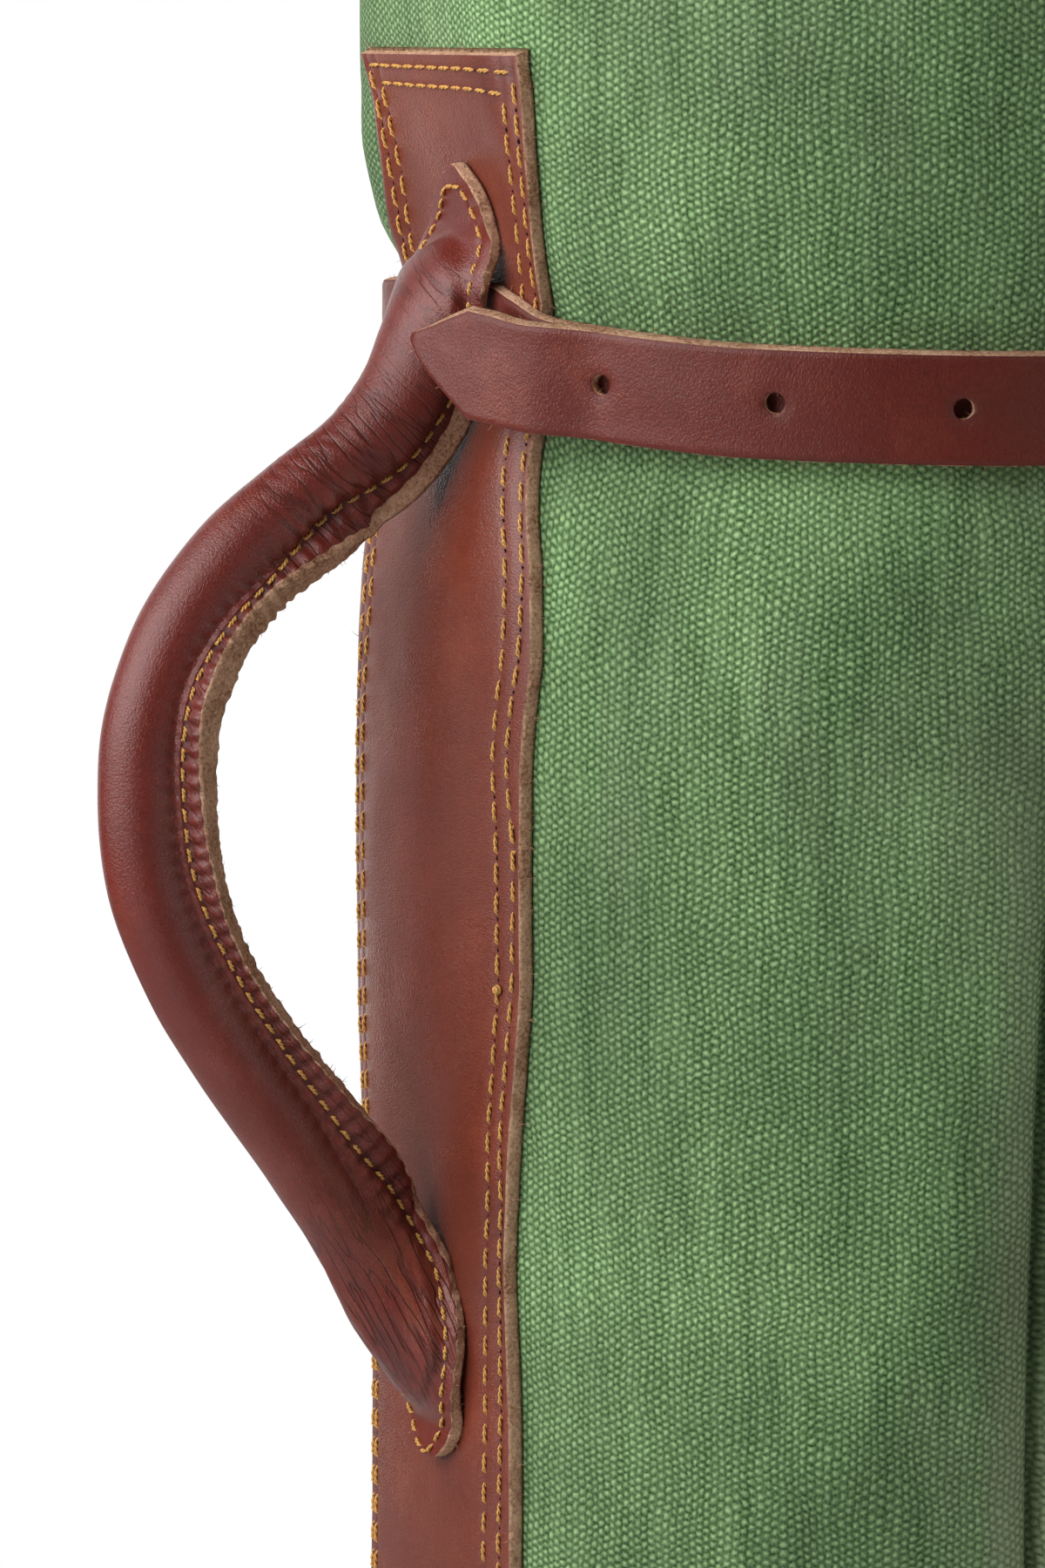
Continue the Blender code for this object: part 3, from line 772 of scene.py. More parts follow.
def settle(obj, node):
    """Places a finished piece on the bag in the CAD node's stead."""
    if not obj.data.polygons:
        raise RuntimeError(f"{obj.name} has no faces")
    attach(obj, "root")
    if node:
        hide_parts(node)


def alone(obj):
    """Makes an object the only one selected, and the active one."""
    bpy.ops.object.select_all(action="DESELECT")
    bpy.context.view_layer.objects.active = obj
    obj.select_set(True)


def skin(name, sections, slot_of, materials, around=False, laid=None, marks=None):
    """A closed skin through loops of equally many points. Unless it goes around, each end
    is closed: the loop's first half faces out, and mates in order with its second half."""
    lines, count = len(sections), len(sections[0])
    points = [point for section in sections for point in section]
    faces, slots, flat = [], [], []
    for i in range(lines if around else lines - 1):
        k = (i + 1) % lines
        for j in range(count):
            m = (j + 1) % count
            faces.append((i * count + j, i * count + m, k * count + m, k * count + j))
            slots.append(slot_of(i, j))
            if laid:
                flat += [*laid(i, j), *laid(i, j + 1), *laid(i + 1, j + 1), *laid(i + 1, j)]
    for start in () if around else (0, (lines - 1) * count):
        for j in range(count // 2):
            ring = list(dict.fromkeys([j, j + 1, count - 2 - j, count - 1 - j]))
            if len(ring) > 2:
                faces.append(tuple(start + place for place in ring))
                slots.append(1)
    obj = made_object(name, points, faces, materials)
    obj.data.polygons.foreach_set("material_index", slots)
    if laid:
        layer = obj.data.uv_layers.new(name="cloth")
        layer.data.foreach_set("uv", flat)
    for label, rows in (marks or {}).items():
        stored = obj.data.attributes.new(label, "FLOAT", "POINT")
        stored.data.foreach_set("value", [value for row in rows for value in row])
    outward(obj)
    return obj


def around_slab(outer, walls=0.0, inner=0.0):
    """Values for a slab's loop: its outer face's own, and one value for the rest."""
    return [walls] * 2 + list(outer) + [walls] * 3 + [inner] * len(outer) + [walls]


def leather_skin(name, sections, materials, looks):
    """A leather piece's skin: grain on its face, raw on its edges and its flesh side. The looks
    are the face's rows of values, by the name of the attribute that the leather reads."""
    count = len(next(iter(looks.values()))[0])
    marks = {label: [around_slab(row) for row in rows] for label, rows in looks.items()}
    return skin(name, sections, lambda i, j: 0 if 2 <= j <= count else 1, materials, marks=marks)


def slab_loop(outer, inner, wall):
    """One loop round a slab of leather: its face, its cut edge, its back, its other edge.
    The edges bulge by a rough amount that the wall function gives."""
    loop = list(outer)
    loop += [outer[-1].lerp(inner[-1], share) + wall(1, share) for share in (0.22, 0.5, 0.8)]
    loop += list(inner[::-1])
    loop += [inner[0].lerp(outer[0], share) + wall(-1, 1 - share) for share in (0.2, 0.5, 0.78)]
    # The loop starts in the middle of the last edge, so that its halves mate in order
    return loop[-2:] + loop[:-2]


def tube(path, radius, sides, ends=True):
    """Points and faces of a round rod along a path, closed to a ring where ends is false."""
    count = len(path)
    turns = [2 * math.pi * k / sides for k in range(sides)]
    points, faces = [], []
    side = None
    for i, point in enumerate(path):
        before = path[i - 1] if i or not ends else point
        after = path[(i + 1) % count] if i < count - 1 or not ends else point
        way = (after - before).normalized()
        if side is None:
            side = Vector((0, 0, 1)) if abs(way.z) < 0.8 else Vector((1, 0, 0))
        side = (side - way * side.dot(way)).normalized()
        other = way.cross(side)
        reach = radius(i) if callable(radius) else radius
        points += [point + (side * math.cos(a) + other * math.sin(a)) * reach for a in turns]
    for i in range(count - 1 if ends else count):
        for j in range(sides):
            k, m = (j + 1) % sides, (i + 1) % count
            faces.append((i * sides + j, i * sides + k, m * sides + k, m * sides + j))
    if ends:
        faces.append(tuple(range(sides))[::-1])
        faces.append(tuple((count - 1) * sides + j for j in range(sides)))
    return points, faces


class Heap:
    """Gathers the points and faces of many small shapes for one mesh."""

    def __init__(self):
        self.points = []
        self.faces = []
        self.slots = []

    def add(self, shape, slot=0):
        points, faces = shape
        first = len(self.points)
        self.points += points
        self.faces += [tuple(first + place for place in face) for face in faces]
        self.slots += [slot] * len(faces)

    def made(self, name, materials):
        obj = made_object(name, self.points, self.faces, materials)
        obj.data.polygons.foreach_set("material_index", self.slots)
        outward(obj)
        return obj


def fray(obj, name):
    """Loose fibres standing out of a piece's cut edges. A backed piece lies on the bag, and
    gets none on its hidden flesh side."""
    fibre = FIBRES[name]
    chance = random.Random(fibre["seed"])
    heap = Heap()
    for face in obj.data.polygons:
        away = Vector((face.center.x, face.center.y, 0)).normalized()
        if face.material_index != 1 or (fibre["backed"] and face.normal.dot(away) < -0.7):
            continue
        wanted = face.area / MM**2 * fibre["amount"]
        for _ in range(int(wanted) + (chance.random() < wanted % 1)):
            start = face.center - face.normal * 0.1 * MM
            way = face.normal + Vector([chance.uniform(-0.9, 0.9) for _ in range(3)])
            bend = Vector([chance.uniform(-0.8, 0.8) for _ in range(3)])
            length = fibre["longest"] * MM * chance.uniform(0.3, 1) ** 2
            path = [start + (way * t + bend * t * t) * length for t in (0, 0.5, 1)]
            heap.add(tube(path, lambda i: FIBRE_RADII[i], 3))
    settle(heap.made(name, [shared("raw cut leather", raw_material)]), None)


def punch(obj, start, end, radius):
    """Cuts a round hole through a piece; its wall takes the raw leather."""
    before = len(obj.data.polygons)
    way = end - start
    bpy.ops.object.select_all(action="DESELECT")
    bpy.ops.mesh.primitive_cylinder_add(
        vertices=24,
        radius=radius,
        depth=way.length,
        location=(start + end) / 2,
        rotation=way.to_track_quat("Z", "Y").to_euler(),
    )
    cutter = bpy.context.object
    for one in hide():
        cutter.data.materials.append(one)
    cutter.data.polygons.foreach_set("material_index", [1] * len(cutter.data.polygons))
    cutting = obj.modifiers.new("Punch", "BOOLEAN")
    cutting.operation = "DIFFERENCE"
    cutting.object = cutter
    cutting.solver = "EXACT"
    cutting.material_mode = "TRANSFER"
    alone(obj)
    bpy.ops.object.modifier_apply(modifier=cutting.name)
    bpy.data.objects.remove(cutter, do_unlink=True)
    if len(obj.data.polygons) == before:
        raise RuntimeError(f"A hole in {obj.name} was not cut")


def bent_rod(name, length, height, corner, radius):
    """A closed rectangular frame of round rod, lying flat round the origin."""
    bpy.ops.object.select_all(action="DESELECT")
    bpy.ops.mesh.primitive_plane_add(size=1)
    rod = bpy.context.object
    rod.name = name
    bpy.ops.object.mode_set(mode="EDIT")
    bpy.ops.mesh.select_all(action="SELECT")
    bpy.ops.transform.resize(value=(length, height, 1))
    bpy.ops.mesh.bevel(offset=corner, segments=8, affect="VERTICES")
    bpy.ops.mesh.delete(type="ONLY_FACE")
    bpy.ops.object.mode_set(mode="OBJECT")
    bpy.ops.object.convert(target="CURVE")
    rod = bpy.context.object
    rod.data.bevel_depth = radius
    rod.data.bevel_resolution = 6
    bpy.ops.object.convert(target="MESH")
    return bpy.context.object


def turned_rod(name, radius, parts):
    """A rod along Z from the origin. Each part adds a length and scales the end's width."""
    first = parts[0][0]
    bpy.ops.object.select_all(action="DESELECT")
    bpy.ops.mesh.primitive_cylinder_add(vertices=18, radius=radius, depth=first, location=(0, 0, first / 2))
    rod = bpy.context.object
    rod.name = name
    bpy.ops.object.transform_apply(location=True, rotation=False, scale=False)
    for face in rod.data.polygons:
        face.select = face.normal.z > 0.9
    bpy.ops.object.mode_set(mode="EDIT")
    for length, scale in parts[1:]:
        bpy.ops.mesh.extrude_region_move(TRANSFORM_OT_translate={"value": (0, 0, length)})
        bpy.ops.transform.resize(value=(scale, scale, 1))
    bpy.ops.object.mode_set(mode="OBJECT")
    rounding = rod.modifiers.new("Rounding", "BEVEL")
    rounding.width = 0.25 * MM
    rounding.segments = 2
    rounding.limit_method = "ANGLE"
    bpy.ops.object.modifier_apply(modifier=rounding.name)
    return rod


def put_at(obj, origin, along_z, along_x):
    """Moves a piece so that its own Z and X lie along the given ways, and applies that."""
    z = along_z.normalized()
    x = (along_x - z * along_x.dot(z)).normalized()
    matrix = Matrix((x, z.cross(x), z)).transposed().to_4x4()
    matrix.translation = origin
    alone(obj)
    obj.matrix_world = matrix
    bpy.ops.object.transform_apply(location=True, rotation=True, scale=True)


# Materials


def node(tree, kind, inputs=(), **settings):
    """Adds a node with its settings, and fills its sockets by name, or in order."""
    made = tree.nodes.new("ShaderNode" + kind)
    for key, value in settings.items():
        setattr(made, key, value)
    fill(tree, made, inputs if isinstance(inputs, dict) else dict(enumerate(inputs)))
    return made


def fill(tree, made, inputs):
    """Sets a node's sockets to values, or links them to other nodes."""
    for socket, source in inputs.items():
        if isinstance(source, bpy.types.Node):
            source = source.outputs[0]
        if isinstance(source, bpy.types.NodeSocket):
            tree.links.new(source, made.inputs[socket])
        else:
            made.inputs[socket].default_value = source


def new_material(name, constants):
    """A material, its tree and its shader, with constants set on the shader's own sockets."""
    made = bpy.data.materials.new(name)
    made.use_nodes = True
    shader = made.node_tree.nodes["Principled BSDF"]
    fill(made.node_tree, shader, constants)
    return made, made.node_tree, shader


def ramp_stops(ramp_node, *stops):
    """Sets a colour ramp's stops: position and linear colour."""
    elements = ramp_node.color_ramp.elements
    while len(elements) < len(stops):
        elements.new(0.5)
    for element, (position, shown) in zip(elements, stops):
        element.position = position
        element.color = (*shown, 1)


def mixed(one, other, share):
    """A colour between two, at a share of the way to the other."""
    return tuple(a + (b - a) * share for a, b in zip(one, other))


def canvas_material():
    """Cotton duck, plain woven from thick dyed threads. Its crowns catch a soft, dull light, its gaps
    show the dye darkened by painted shade, and cotton shows pale where the cloth is rubbed."""
    size = sizes()
    columns = 2 * round(math.pi * CLOTH_RADIUS / size.weave_pitch)
    rows = round(BAG_HEIGHT / size.row_pitch)
    made, tree, shader = new_material(
        "dyed cotton duck, plain weave",
        {"Roughness": 0.92, "Specular IOR Level": 0.15, "Sheen Weight": 0.08, "Sheen Roughness": 0.6},
    )
    place = node(tree, "UVMap", uv_map="cloth")
    threads = node(tree, "Mapping", {"Vector": place, "Scale": (columns, rows, 1)})
    noises = {}
    for row in CLOTH_NOISES:
        spread = node(tree, "Mapping", {"Vector": threads, "Scale": row["stretch"]})
        inputs = {"Vector": spread, "Scale": row["scale"], "Detail": row["detail"]}
        noises[row["name"]] = node(tree, "TexNoise", inputs, noise_dimensions="2D")
    # The threads wander, and no two crowns have the same outline
    bent = threads
    for name, reach in (("wander", 1.6), ("outline", 0.42)):
        swing = (noises[name].outputs["Color"], (reach, reach, 0), bent)
        bent = node(tree, "VectorMath", swing, operation="MULTIPLY_ADD")
    split = node(tree, "SeparateXYZ", (bent,))
    column = node(tree, "Math", (split.outputs[0],), operation="FLOOR")
    # Every other column is half a bump higher
    odd = node(tree, "Math", (column, 2.0), operation="MODULO")
    raised = node(tree, "Math", (odd, 0.5, split.outputs[1]), operation="MULTIPLY_ADD")
    row = node(tree, "Math", (raised,), operation="FLOOR")
    cell = node(tree, "CombineXYZ", (column, row))
    chance = node(tree, "TexWhiteNoise", {"Vector": cell}, noise_dimensions="2D")
    # Each crown is a bead, a little wider than it is high
    waves = []
    for turn, power in ((split.outputs[0], 1.6), (raised, 2.3)):
        angle = node(tree, "Math", (turn, math.pi), operation="MULTIPLY")
        wave = node(tree, "Math", (angle,), operation="SINE")
        bead = node(tree, "Math", (wave,), operation="ABSOLUTE")
        waves.append(node(tree, "Math", (bead, power), operation="POWER"))
    wide = node(tree, "Math", (waves[0], 0.86, 0.14), operation="MULTIPLY_ADD")
    crown = node(tree, "Math", (wide, waves[1]), operation="MULTIPLY")
    plain = node(tree, "Math", (crown, 0.46), operation="MULTIPLY")
    height = node(tree, "Math", (noises["fibres"], 0.5, plain), operation="MULTIPLY_ADD")
    swell = node(tree, "Math", (crown, 0.3), operation="MULTIPLY")
    uneven = node(tree, "Math", (chance.outputs["Value"], swell, height), operation="MULTIPLY_ADD")
    lower = node(tree, "Math", (uneven, 0.1), operation="SUBTRACT")
    faded = node(tree, "Math", (noises["streaks"], 0.2, lower), operation="MULTIPLY_ADD")
    # The colour follows the weave's height: painted shade darkens the gaps, and the crowns show the thread's
    # own colour
    dye = node(tree, "ValToRGB", (faded,))
    low, high = tint("canvas_gap_shade"), tint("canvas_thread")
    ramp_stops(dye, (0.15, low), (0.42, mixed(low, high, 0.42)), (0.9, high))
    tone = node(tree, "MapRange", (noises["patches"], 0.3, 0.7, 0.7, 1.22))
    tinted = node(tree, "VectorMath", {0: dye, "Scale": tone}, operation="SCALE")
    # Rubbed folds and pale patches show the cotton, most of all on the crowns
    worn = node(tree, "Attribute", attribute_name="worn").outputs["Fac"]
    pale = node(tree, "MapRange", (noises["pale"], 0.5, 0.8, 0.0, 0.5))
    rubbed = node(tree, "Math", (worn, pale), operation="ADD")
    on_crowns = node(tree, "Math", (uneven, 0.9, 0.1), operation="MULTIPLY_ADD")
    bare = node(tree, "Math", (rubbed, on_crowns), operation="MULTIPLY")
    cotton = {"Factor": bare, 6: tinted, 7: (*tint("canvas_worn"), 1)}
    shown = node(tree, "Mix", cotton, data_type="RGBA").outputs[2]
    bump = node(tree, "Bump", {"Height": uneven, "Distance": CROWN_HEIGHT, "Strength": 1.0})
    fill(tree, shader, {"Base Color": shown, "Normal": bump})
    return made


def base_material():
    """The same cotton duck on the base, whose threads run straight over the flat panel."""
    size = sizes()
    made, tree, shader = new_material(
        "dyed cotton duck, flat panel", {"Roughness": 0.92, "Specular IOR Level": 0.15}
    )
    place = node(tree, "TexCoord").outputs["Object"]
    repeat = (math.pi / size.weave_pitch, math.pi / size.row_pitch, 0)
    threads = node(tree, "Mapping", {"Vector": place, "Scale": repeat})
    split = node(tree, "SeparateXYZ", (threads,))
    waves = [node(tree, "Math", (split.outputs[axis],), operation="SINE") for axis in (0, 1)]
    crown = node(tree, "Math", waves, operation="MULTIPLY")
    fibres = node(tree, "TexNoise", {"Vector": threads, "Scale": 1.2, "Detail": 3.0})
    height = node(tree, "Math", (crown, 0.25, fibres), operation="MULTIPLY_ADD")
    # Painted shade: the colour darkens with the weave's height, down to the shaded colour of the gaps
    dye = node(tree, "ValToRGB", (height,))
    ramp_stops(dye, (0.3, tint("canvas_gap_shade")), (0.8, tint("canvas_thread")))
    bump = node(tree, "Bump", {"Height": height, "Distance": BASE_CROWN_HEIGHT, "Strength": 1.0})
    fill(tree, shader, {"Base Color": dye, "Normal": bump})
    return made


def leather_material(kind):
    """Cowhide, vegetable tanned and waxed: a soft gloss broken by fine pebbles, with painted shade
    darkening its creases, and a paler red where it is rubbed, which on the grip is also painted sheen."""
    made, tree, shader = new_material(kind["name"], {"Specular IOR Level": kind["specular"]})
    place = node(tree, "TexCoord").outputs["Object"]
    mottle = node(tree, "TexNoise", {"Vector": place, "Scale": 42.0, "Detail": 6.0, "Roughness": 0.66})
    # The rubbed mark pales the leather: rubbed wax, and painted sheen on the grip
    rubbed = node(tree, "Attribute", attribute_name="rubbed").outputs["Fac"]
    # The shade mark is painted shade: it darkens the leather in creases, grooves, dips and the strap's
    # shadow
    dark = node(tree, "Attribute", attribute_name="shade").outputs["Fac"]
    paler = node(tree, "Math", (rubbed, 0.4, mottle), operation="MULTIPLY_ADD")
    tone = node(tree, "Math", (dark, -0.34, paler), operation="MULTIPLY_ADD")
    dye = node(tree, "ValToRGB", (tone,))
    base, deep = tint(kind["colour"]), tint("painted_leather_shade")
    # The ramp runs from painted shade, through the leather's own colour, to a paler red that is rubbed wax
    # and painted sheen
    ramp_stops(
        dye, (0.0, deep), (0.36, mixed(deep, base, 0.8)), (0.56, base), (1.0, tint("leather_rubbed_and_sheen"))
    )
    # The pebbles of the grain are drawn out where the hide was stretched
    flat = node(tree, "Mapping", {"Vector": place, "Scale": kind["stretch"]})
    cells = {"Vector": flat, "Scale": 1 / PEBBLE_SIZE, "Randomness": 1.0}
    grain = node(tree, "TexVoronoi", cells, feature="DISTANCE_TO_EDGE")
    pores = {"Vector": flat, "Scale": 1 / PORE_SIZE, "Detail": 4.0, "Roughness": 0.68}
    pebbles = node(tree, "MapRange", (grain, 0.0, 0.2, 0.0, 0.45))
    relief = node(tree, "Math", (node(tree, "TexNoise", pores), 1.7, pebbles), operation="MULTIPLY_ADD")
    # Fine wrinkles where the grip is bent: across its upper neck, and along its lower one
    for wrinkle in WRINKLES:
        over, run = Vector(wrinkle["over"]).normalized(), Vector(wrinkle["run"]).normalized()
        turn = Matrix((over, run, over.cross(run))).to_euler()
        leant = node(tree, "Mapping", {"Vector": place, "Rotation": turn})
        pitch, length = wrinkle["pitch"] * MM, wrinkle["length"] * MM
        drawn = node(tree, "Mapping", {"Vector": leant, "Scale": (1 / pitch, 1 / length, 1 / length)})
        wander = {"Vector": drawn, "Scale": 0.5, "Detail": 1.5, "Roughness": 0.5}
        off = node(tree, "Math", (node(tree, "TexNoise", wander), 0.5), operation="SUBTRACT")
        off = node(tree, "Math", (off,), operation="ABSOLUTE")
        line = node(tree, "MapRange", (off, 0.0, 0.055, -wrinkle["depth"], 0.0))
        much = node(tree, "Attribute", attribute_name=wrinkle["marked"]).outputs["Fac"]
        relief = node(tree, "Math", (line, much, relief), operation="MULTIPLY_ADD")
    # Painted shade and light in the grain: the colour darkens in the pores and wrinkle lines and lightens on
    # the raised pebbles
    painted_grain_shading = node(tree, "MapRange", (relief, 0.2, 1.7, 0.66, 1.2))
    toned = node(tree, "VectorMath", {0: dye, "Scale": painted_grain_shading}, operation="SCALE")
    smooth = node(tree, "MapRange", (mottle, 0.3, 0.7, 0.36, 0.28))
    dulled = node(tree, "Math", (dark, 0.4, smooth), operation="MULTIPLY_ADD")
    polished = node(tree, "Math", (rubbed, -0.05, dulled), operation="MULTIPLY_ADD")
    bump = node(tree, "Bump", {"Height": relief, "Distance": GRAIN_DEPTH, "Strength": 1.0})
    fill(tree, shader, {"Base Color": toned, "Roughness": polished, "Normal": bump})
    return made


def raw_material():
    """Cut edge and flesh side of the leather: torn fibres, matt and pale, with grime and painted shade in
    them.
    """
    made, tree, shader = new_material("raw cut leather", {"Roughness": 0.95, "Specular IOR Level": 0.1})
    place = node(tree, "TexCoord").outputs["Object"]
    tufts = {"Vector": place, "Scale": 1 / TUFT_SIZE, "Detail": 5.0, "Roughness": 0.8}
    fuzz = node(tree, "TexNoise", tufts)
    broad = node(tree, "TexNoise", {"Vector": place, "Scale": 120.0, "Detail": 3.0})
    # The colour darkens where the tufts lie low, which is painted shade, and in broad patches of grime
    tone = node(tree, "Math", (broad, 0.4, fuzz), operation="MULTIPLY_ADD")
    shown = node(tree, "ValToRGB", (tone,))
    low, high = tint("raw_edge_dark"), tint("raw_edge")
    dirt_and_shade, between = mixed((0, 0, 0), low, 0.45), mixed(low, high, 0.5)
    ramp_stops(shown, (0.46, dirt_and_shade), (0.58, low), (0.68, between), (0.84, high))
    bump = node(tree, "Bump", {"Height": fuzz, "Distance": TUFT_DEPTH, "Strength": 1.0})
    fill(tree, shader, {"Base Color": shown, "Normal": bump})
    return made


def thread_material():
    """Linen thread, twisted from two plies and waxed: a dull shine, painted shade in low strands."""
    made, tree, shader = new_material("waxed linen thread", {"Roughness": 0.6, "Specular IOR Level": 0.35})
    place = node(tree, "TexCoord").outputs["Object"]
    strands = node(tree, "TexNoise", {"Vector": place, "Scale": 1 / STRAND_SIZE, "Detail": 3.0})
    shown = node(tree, "ValToRGB", (strands,))
    thread = tint("thread")
    ramp_stops(shown, (0.3, mixed(thread, THREAD_HOLLOW_SHADE, 0.55)), (0.65, thread))
    bump = node(tree, "Bump", {"Height": strands, "Distance": STRAND_DEPTH, "Strength": 0.7})
    fill(tree, shader, {"Base Color": shown, "Normal": bump})
    return made


def hole_material():
    """The dark inside of a needle hole, which gives no shine."""
    dark = {"Base Color": HOLE_SHADE, "Roughness": 1.0, "Specular IOR Level": 0.0}
    return new_material("shaded needle hole", dark)[0]


def brass_material():
    """Brass, cast and tumbled: a warm satin shine that tarnish dulls in patches."""
    made, tree, shader = new_material("cast brass", {"Metallic": 1.0})
    place = node(tree, "TexCoord").outputs["Object"]
    tarnish = node(tree, "TexNoise", {"Vector": place, "Scale": 160.0, "Detail": 5.0})
    shown = node(tree, "ValToRGB", (tarnish,))
    brass = tint("brass")
    ramp_stops(shown, (0.3, mixed(brass, BRASS_TARNISH, 0.5)), (0.6, brass))
    worn = node(tree, "MapRange", (tarnish, 0.3, 0.7, 0.42, 0.24))
    fill(tree, shader, {"Base Color": shown, "Roughness": worn})
    return made


def shared(name, make, *kind):
    """The material of that name, made once."""
    return bpy.data.materials.get(name) or make(*kind)


def hide(name="waxed bridle leather"):
    """A piece of leather's two finishes: its grain side, and its cut edge and flesh side."""
    kind = LEATHERS[name]
    return [shared(name, leather_material, kind), shared("raw cut leather", raw_material)]


def sewing():
    """The finishes of a row of stitches: its thread, and the needle holes between them."""
    return [shared("waxed linen thread", thread_material), shared("shaded needle hole", hole_material)]


# Canvas


def is_crease(fold):
    """Whether a fold is a sharp crease, and not a soft dent or puff."""
    return fold["power"] <= CREASE_POWER


def canvas_azimuths():
    """Azimuths round the tube: even steps, finer at the creases."""
    creases = [fold["azimuth"] for fold in FOLDS if is_crease(fold)]
    found, azimuth = [], -180.0
    while azimuth < 180:
        found.append(azimuth)
        near = min(abs(turned(azimuth - crease)) for crease in creases)
        azimuth += 0.5 if near < 2.2 else (0.9 if near < 5 else 1.7)
    return found


def canvas_levels():
    """Levels up the tube: even steps, finer at the belt and at the hem's foot."""
    found, level = [], BODY[0]["level"]
    while level < 859.5:
        found.append(level * MM)
        level += 3.4 if 600 < level < 735 else (1.0 if 829 < level < 836 else 6.0)
    return found + [858.6 * MM]


def canvas_ripple(azimuth, level):
    """Slight waves in the cloth, none of them under the leather."""
    point = canvas_point(azimuth, level)
    off_strip = ramp((abs(turned(azimuth - HANDLE_AZIMUTH)) - 24) / 10)
    off_strap = ramp(abs(level - STRAP_LEVEL) / MM / 14 - 1)
    soft = rough(point, 46 * MM) * 0.8 + rough(point, 17 * MM, 3.0) * 0.35
    return soft * 0.45 * MM * off_strip * off_strap


def canvas_wear(azimuth, level):
    """How far the dye is rubbed off: along the lips of the creases, and on the rim."""
    worn = 0.6 * ramp((level - 857 * MM) / (2 * MM))
    for fold in filter(is_crease, FOLDS):
        arc = abs(turned(azimuth - fold["azimuth"])) * math.pi / 180 * 100
        worn += 0.55 * fold_window(fold, level) * bell(arc - 1.3 * fold["width"], 1.4 * fold["width"])
    return worn


def make_canvas_body():
    """The tube: its outer face, its rim and its inner face, turned round the bag."""
    azimuths, levels = canvas_azimuths(), canvas_levels()
    sections, wear = [], []
    for azimuth in azimuths:
        lifts = [canvas_ripple(azimuth, level) for level in levels]
        outer = [canvas_point(azimuth, level, lift) for level, lift in zip(levels, lifts)]
        inner = [
            canvas_point(azimuth, level, lift - CANVAS_THICKNESS) for level, lift in zip(levels, lifts)
        ]
        top = BAG_HEIGHT - 0.05 * MM
        rim = [canvas_point(azimuth, top, -CANVAS_THICKNESS * share) for share in (0.3, 0.7)]
        sections.append(outer + rim + inner[::-1])
        wear.append([canvas_wear(azimuth, level) for level in levels] + [0.5] * 2 + [0.0] * len(levels))
    # The cloth's own height runs up the outer face, over the rim and down the inner one
    rise = levels + [BAG_HEIGHT, BAG_HEIGHT + 1 * MM]
    rise += [2 * BAG_HEIGHT + 1 * MM - level for level in levels[::-1]] + [2 * BAG_HEIGHT]
    spread = azimuths + [180.0]

    def laid(i, j):
        return (spread[i] + 180) / 360, rise[j] / BAG_HEIGHT

    cloth = [shared("dyed cotton duck, plain weave", canvas_material)]
    body = skin("canvas_tube", sections, lambda i, j: 0, cloth, around=True, laid=laid, marks={"worn": wear})
    settle(body, "canvas_body")


def dress_base():
    """Gives the base its canvas, in the object's own material slot."""
    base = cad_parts["base_panel"]
    base.material_slots[0].link = "OBJECT"
    base.material_slots[0].material = shared("dyed cotton duck, flat panel", base_material)


# Side strip


def row_margin(level, name):
    """How far a row of stitches lies from the strip's edge (mm)."""
    return along(ROWS, "level", name, level / MM)


def top_margin(across, name):
    """How far a row of stitches lies under the strip's top (mm)."""
    return along(TOP_ROWS, "across", name, across)


def strip_columns(level, skive=0.0):
    """Places across the strip in mm: even, but with fine columns at each row of stitches."""
    rows = (
        -STRIP_HALF + row_margin(level, "left_outer"),
        -STRIP_HALF + row_margin(level, "left_inner"),
        STRIP_HALF - row_margin(level, "right_inner"),
        STRIP_HALF - row_margin(level, "right_outer"),
    )
    anchors = [-STRIP_HALF, *rows, STRIP_HALF - skive]
    columns = []
    for start, end, count in zip(anchors, anchors[1:], STRIP_COUNTS):
        for k in range(count):
            t = k / count
            t -= 0.12 * math.sin(2 * math.pi * t) if count < 20 else 0.1 * math.sin(2 * math.pi * t)
            columns.append(start + (end - start) * t)
    return columns + [STRIP_HALF - skive]


def strip_relief(level, across):
    """Height of the strip's face over its plain form: the sewn rows are drawn in."""
    side = "left" if across < 0 else "right"
    margin = STRIP_HALF - abs(across)
    top = (strip_top_level(across) - level) / MM
    depth = 0.0
    phase = abs(((level / sizes().stitch_pitch) % 1) - 0.5) * 2
    for name in ("outer", "inner"):
        off = margin - row_margin(level, f"{side}_{name}")
        depth += (0.16 + 0.22 * phase**4) * bell(off, 0.8)
        depth += 0.22 * bell(top - top_margin(across, name), 0.8) * (margin > 2)
    rounding = 0.3 * bell(max(margin, 0), 0.5) + 0.3 * bell(max(top, 0), 0.5)
    point = canvas_point(strip_azimuth(level, across), level)
    wave = 0.22 * rough(point, 30 * MM, 5.0) + 0.1 * rough(point, 9 * MM, 8.0)
    return (wave - depth - rounding) * MM


def strip_levels():
    """Levels of the strip's rows up to its top stretch: two to a stitch."""
    step = sizes().stitch_pitch / 2
    count = int((STRIP_TURN_LEVEL - STRIP_FOOT_LEVEL) / step) + 1
    found = [STRIP_FOOT_LEVEL + i * step for i in range(count)]
    return [level for level in found if level < STRIP_TURN_LEVEL]


def strip_place(level, across, lift):
    """A point on the strip's face, at a height over it."""
    azimuth = strip_azimuth(level, across)
    return canvas_point(azimuth, level, GAP + LEATHER_THICKNESS + strip_relief(level, across) + lift)


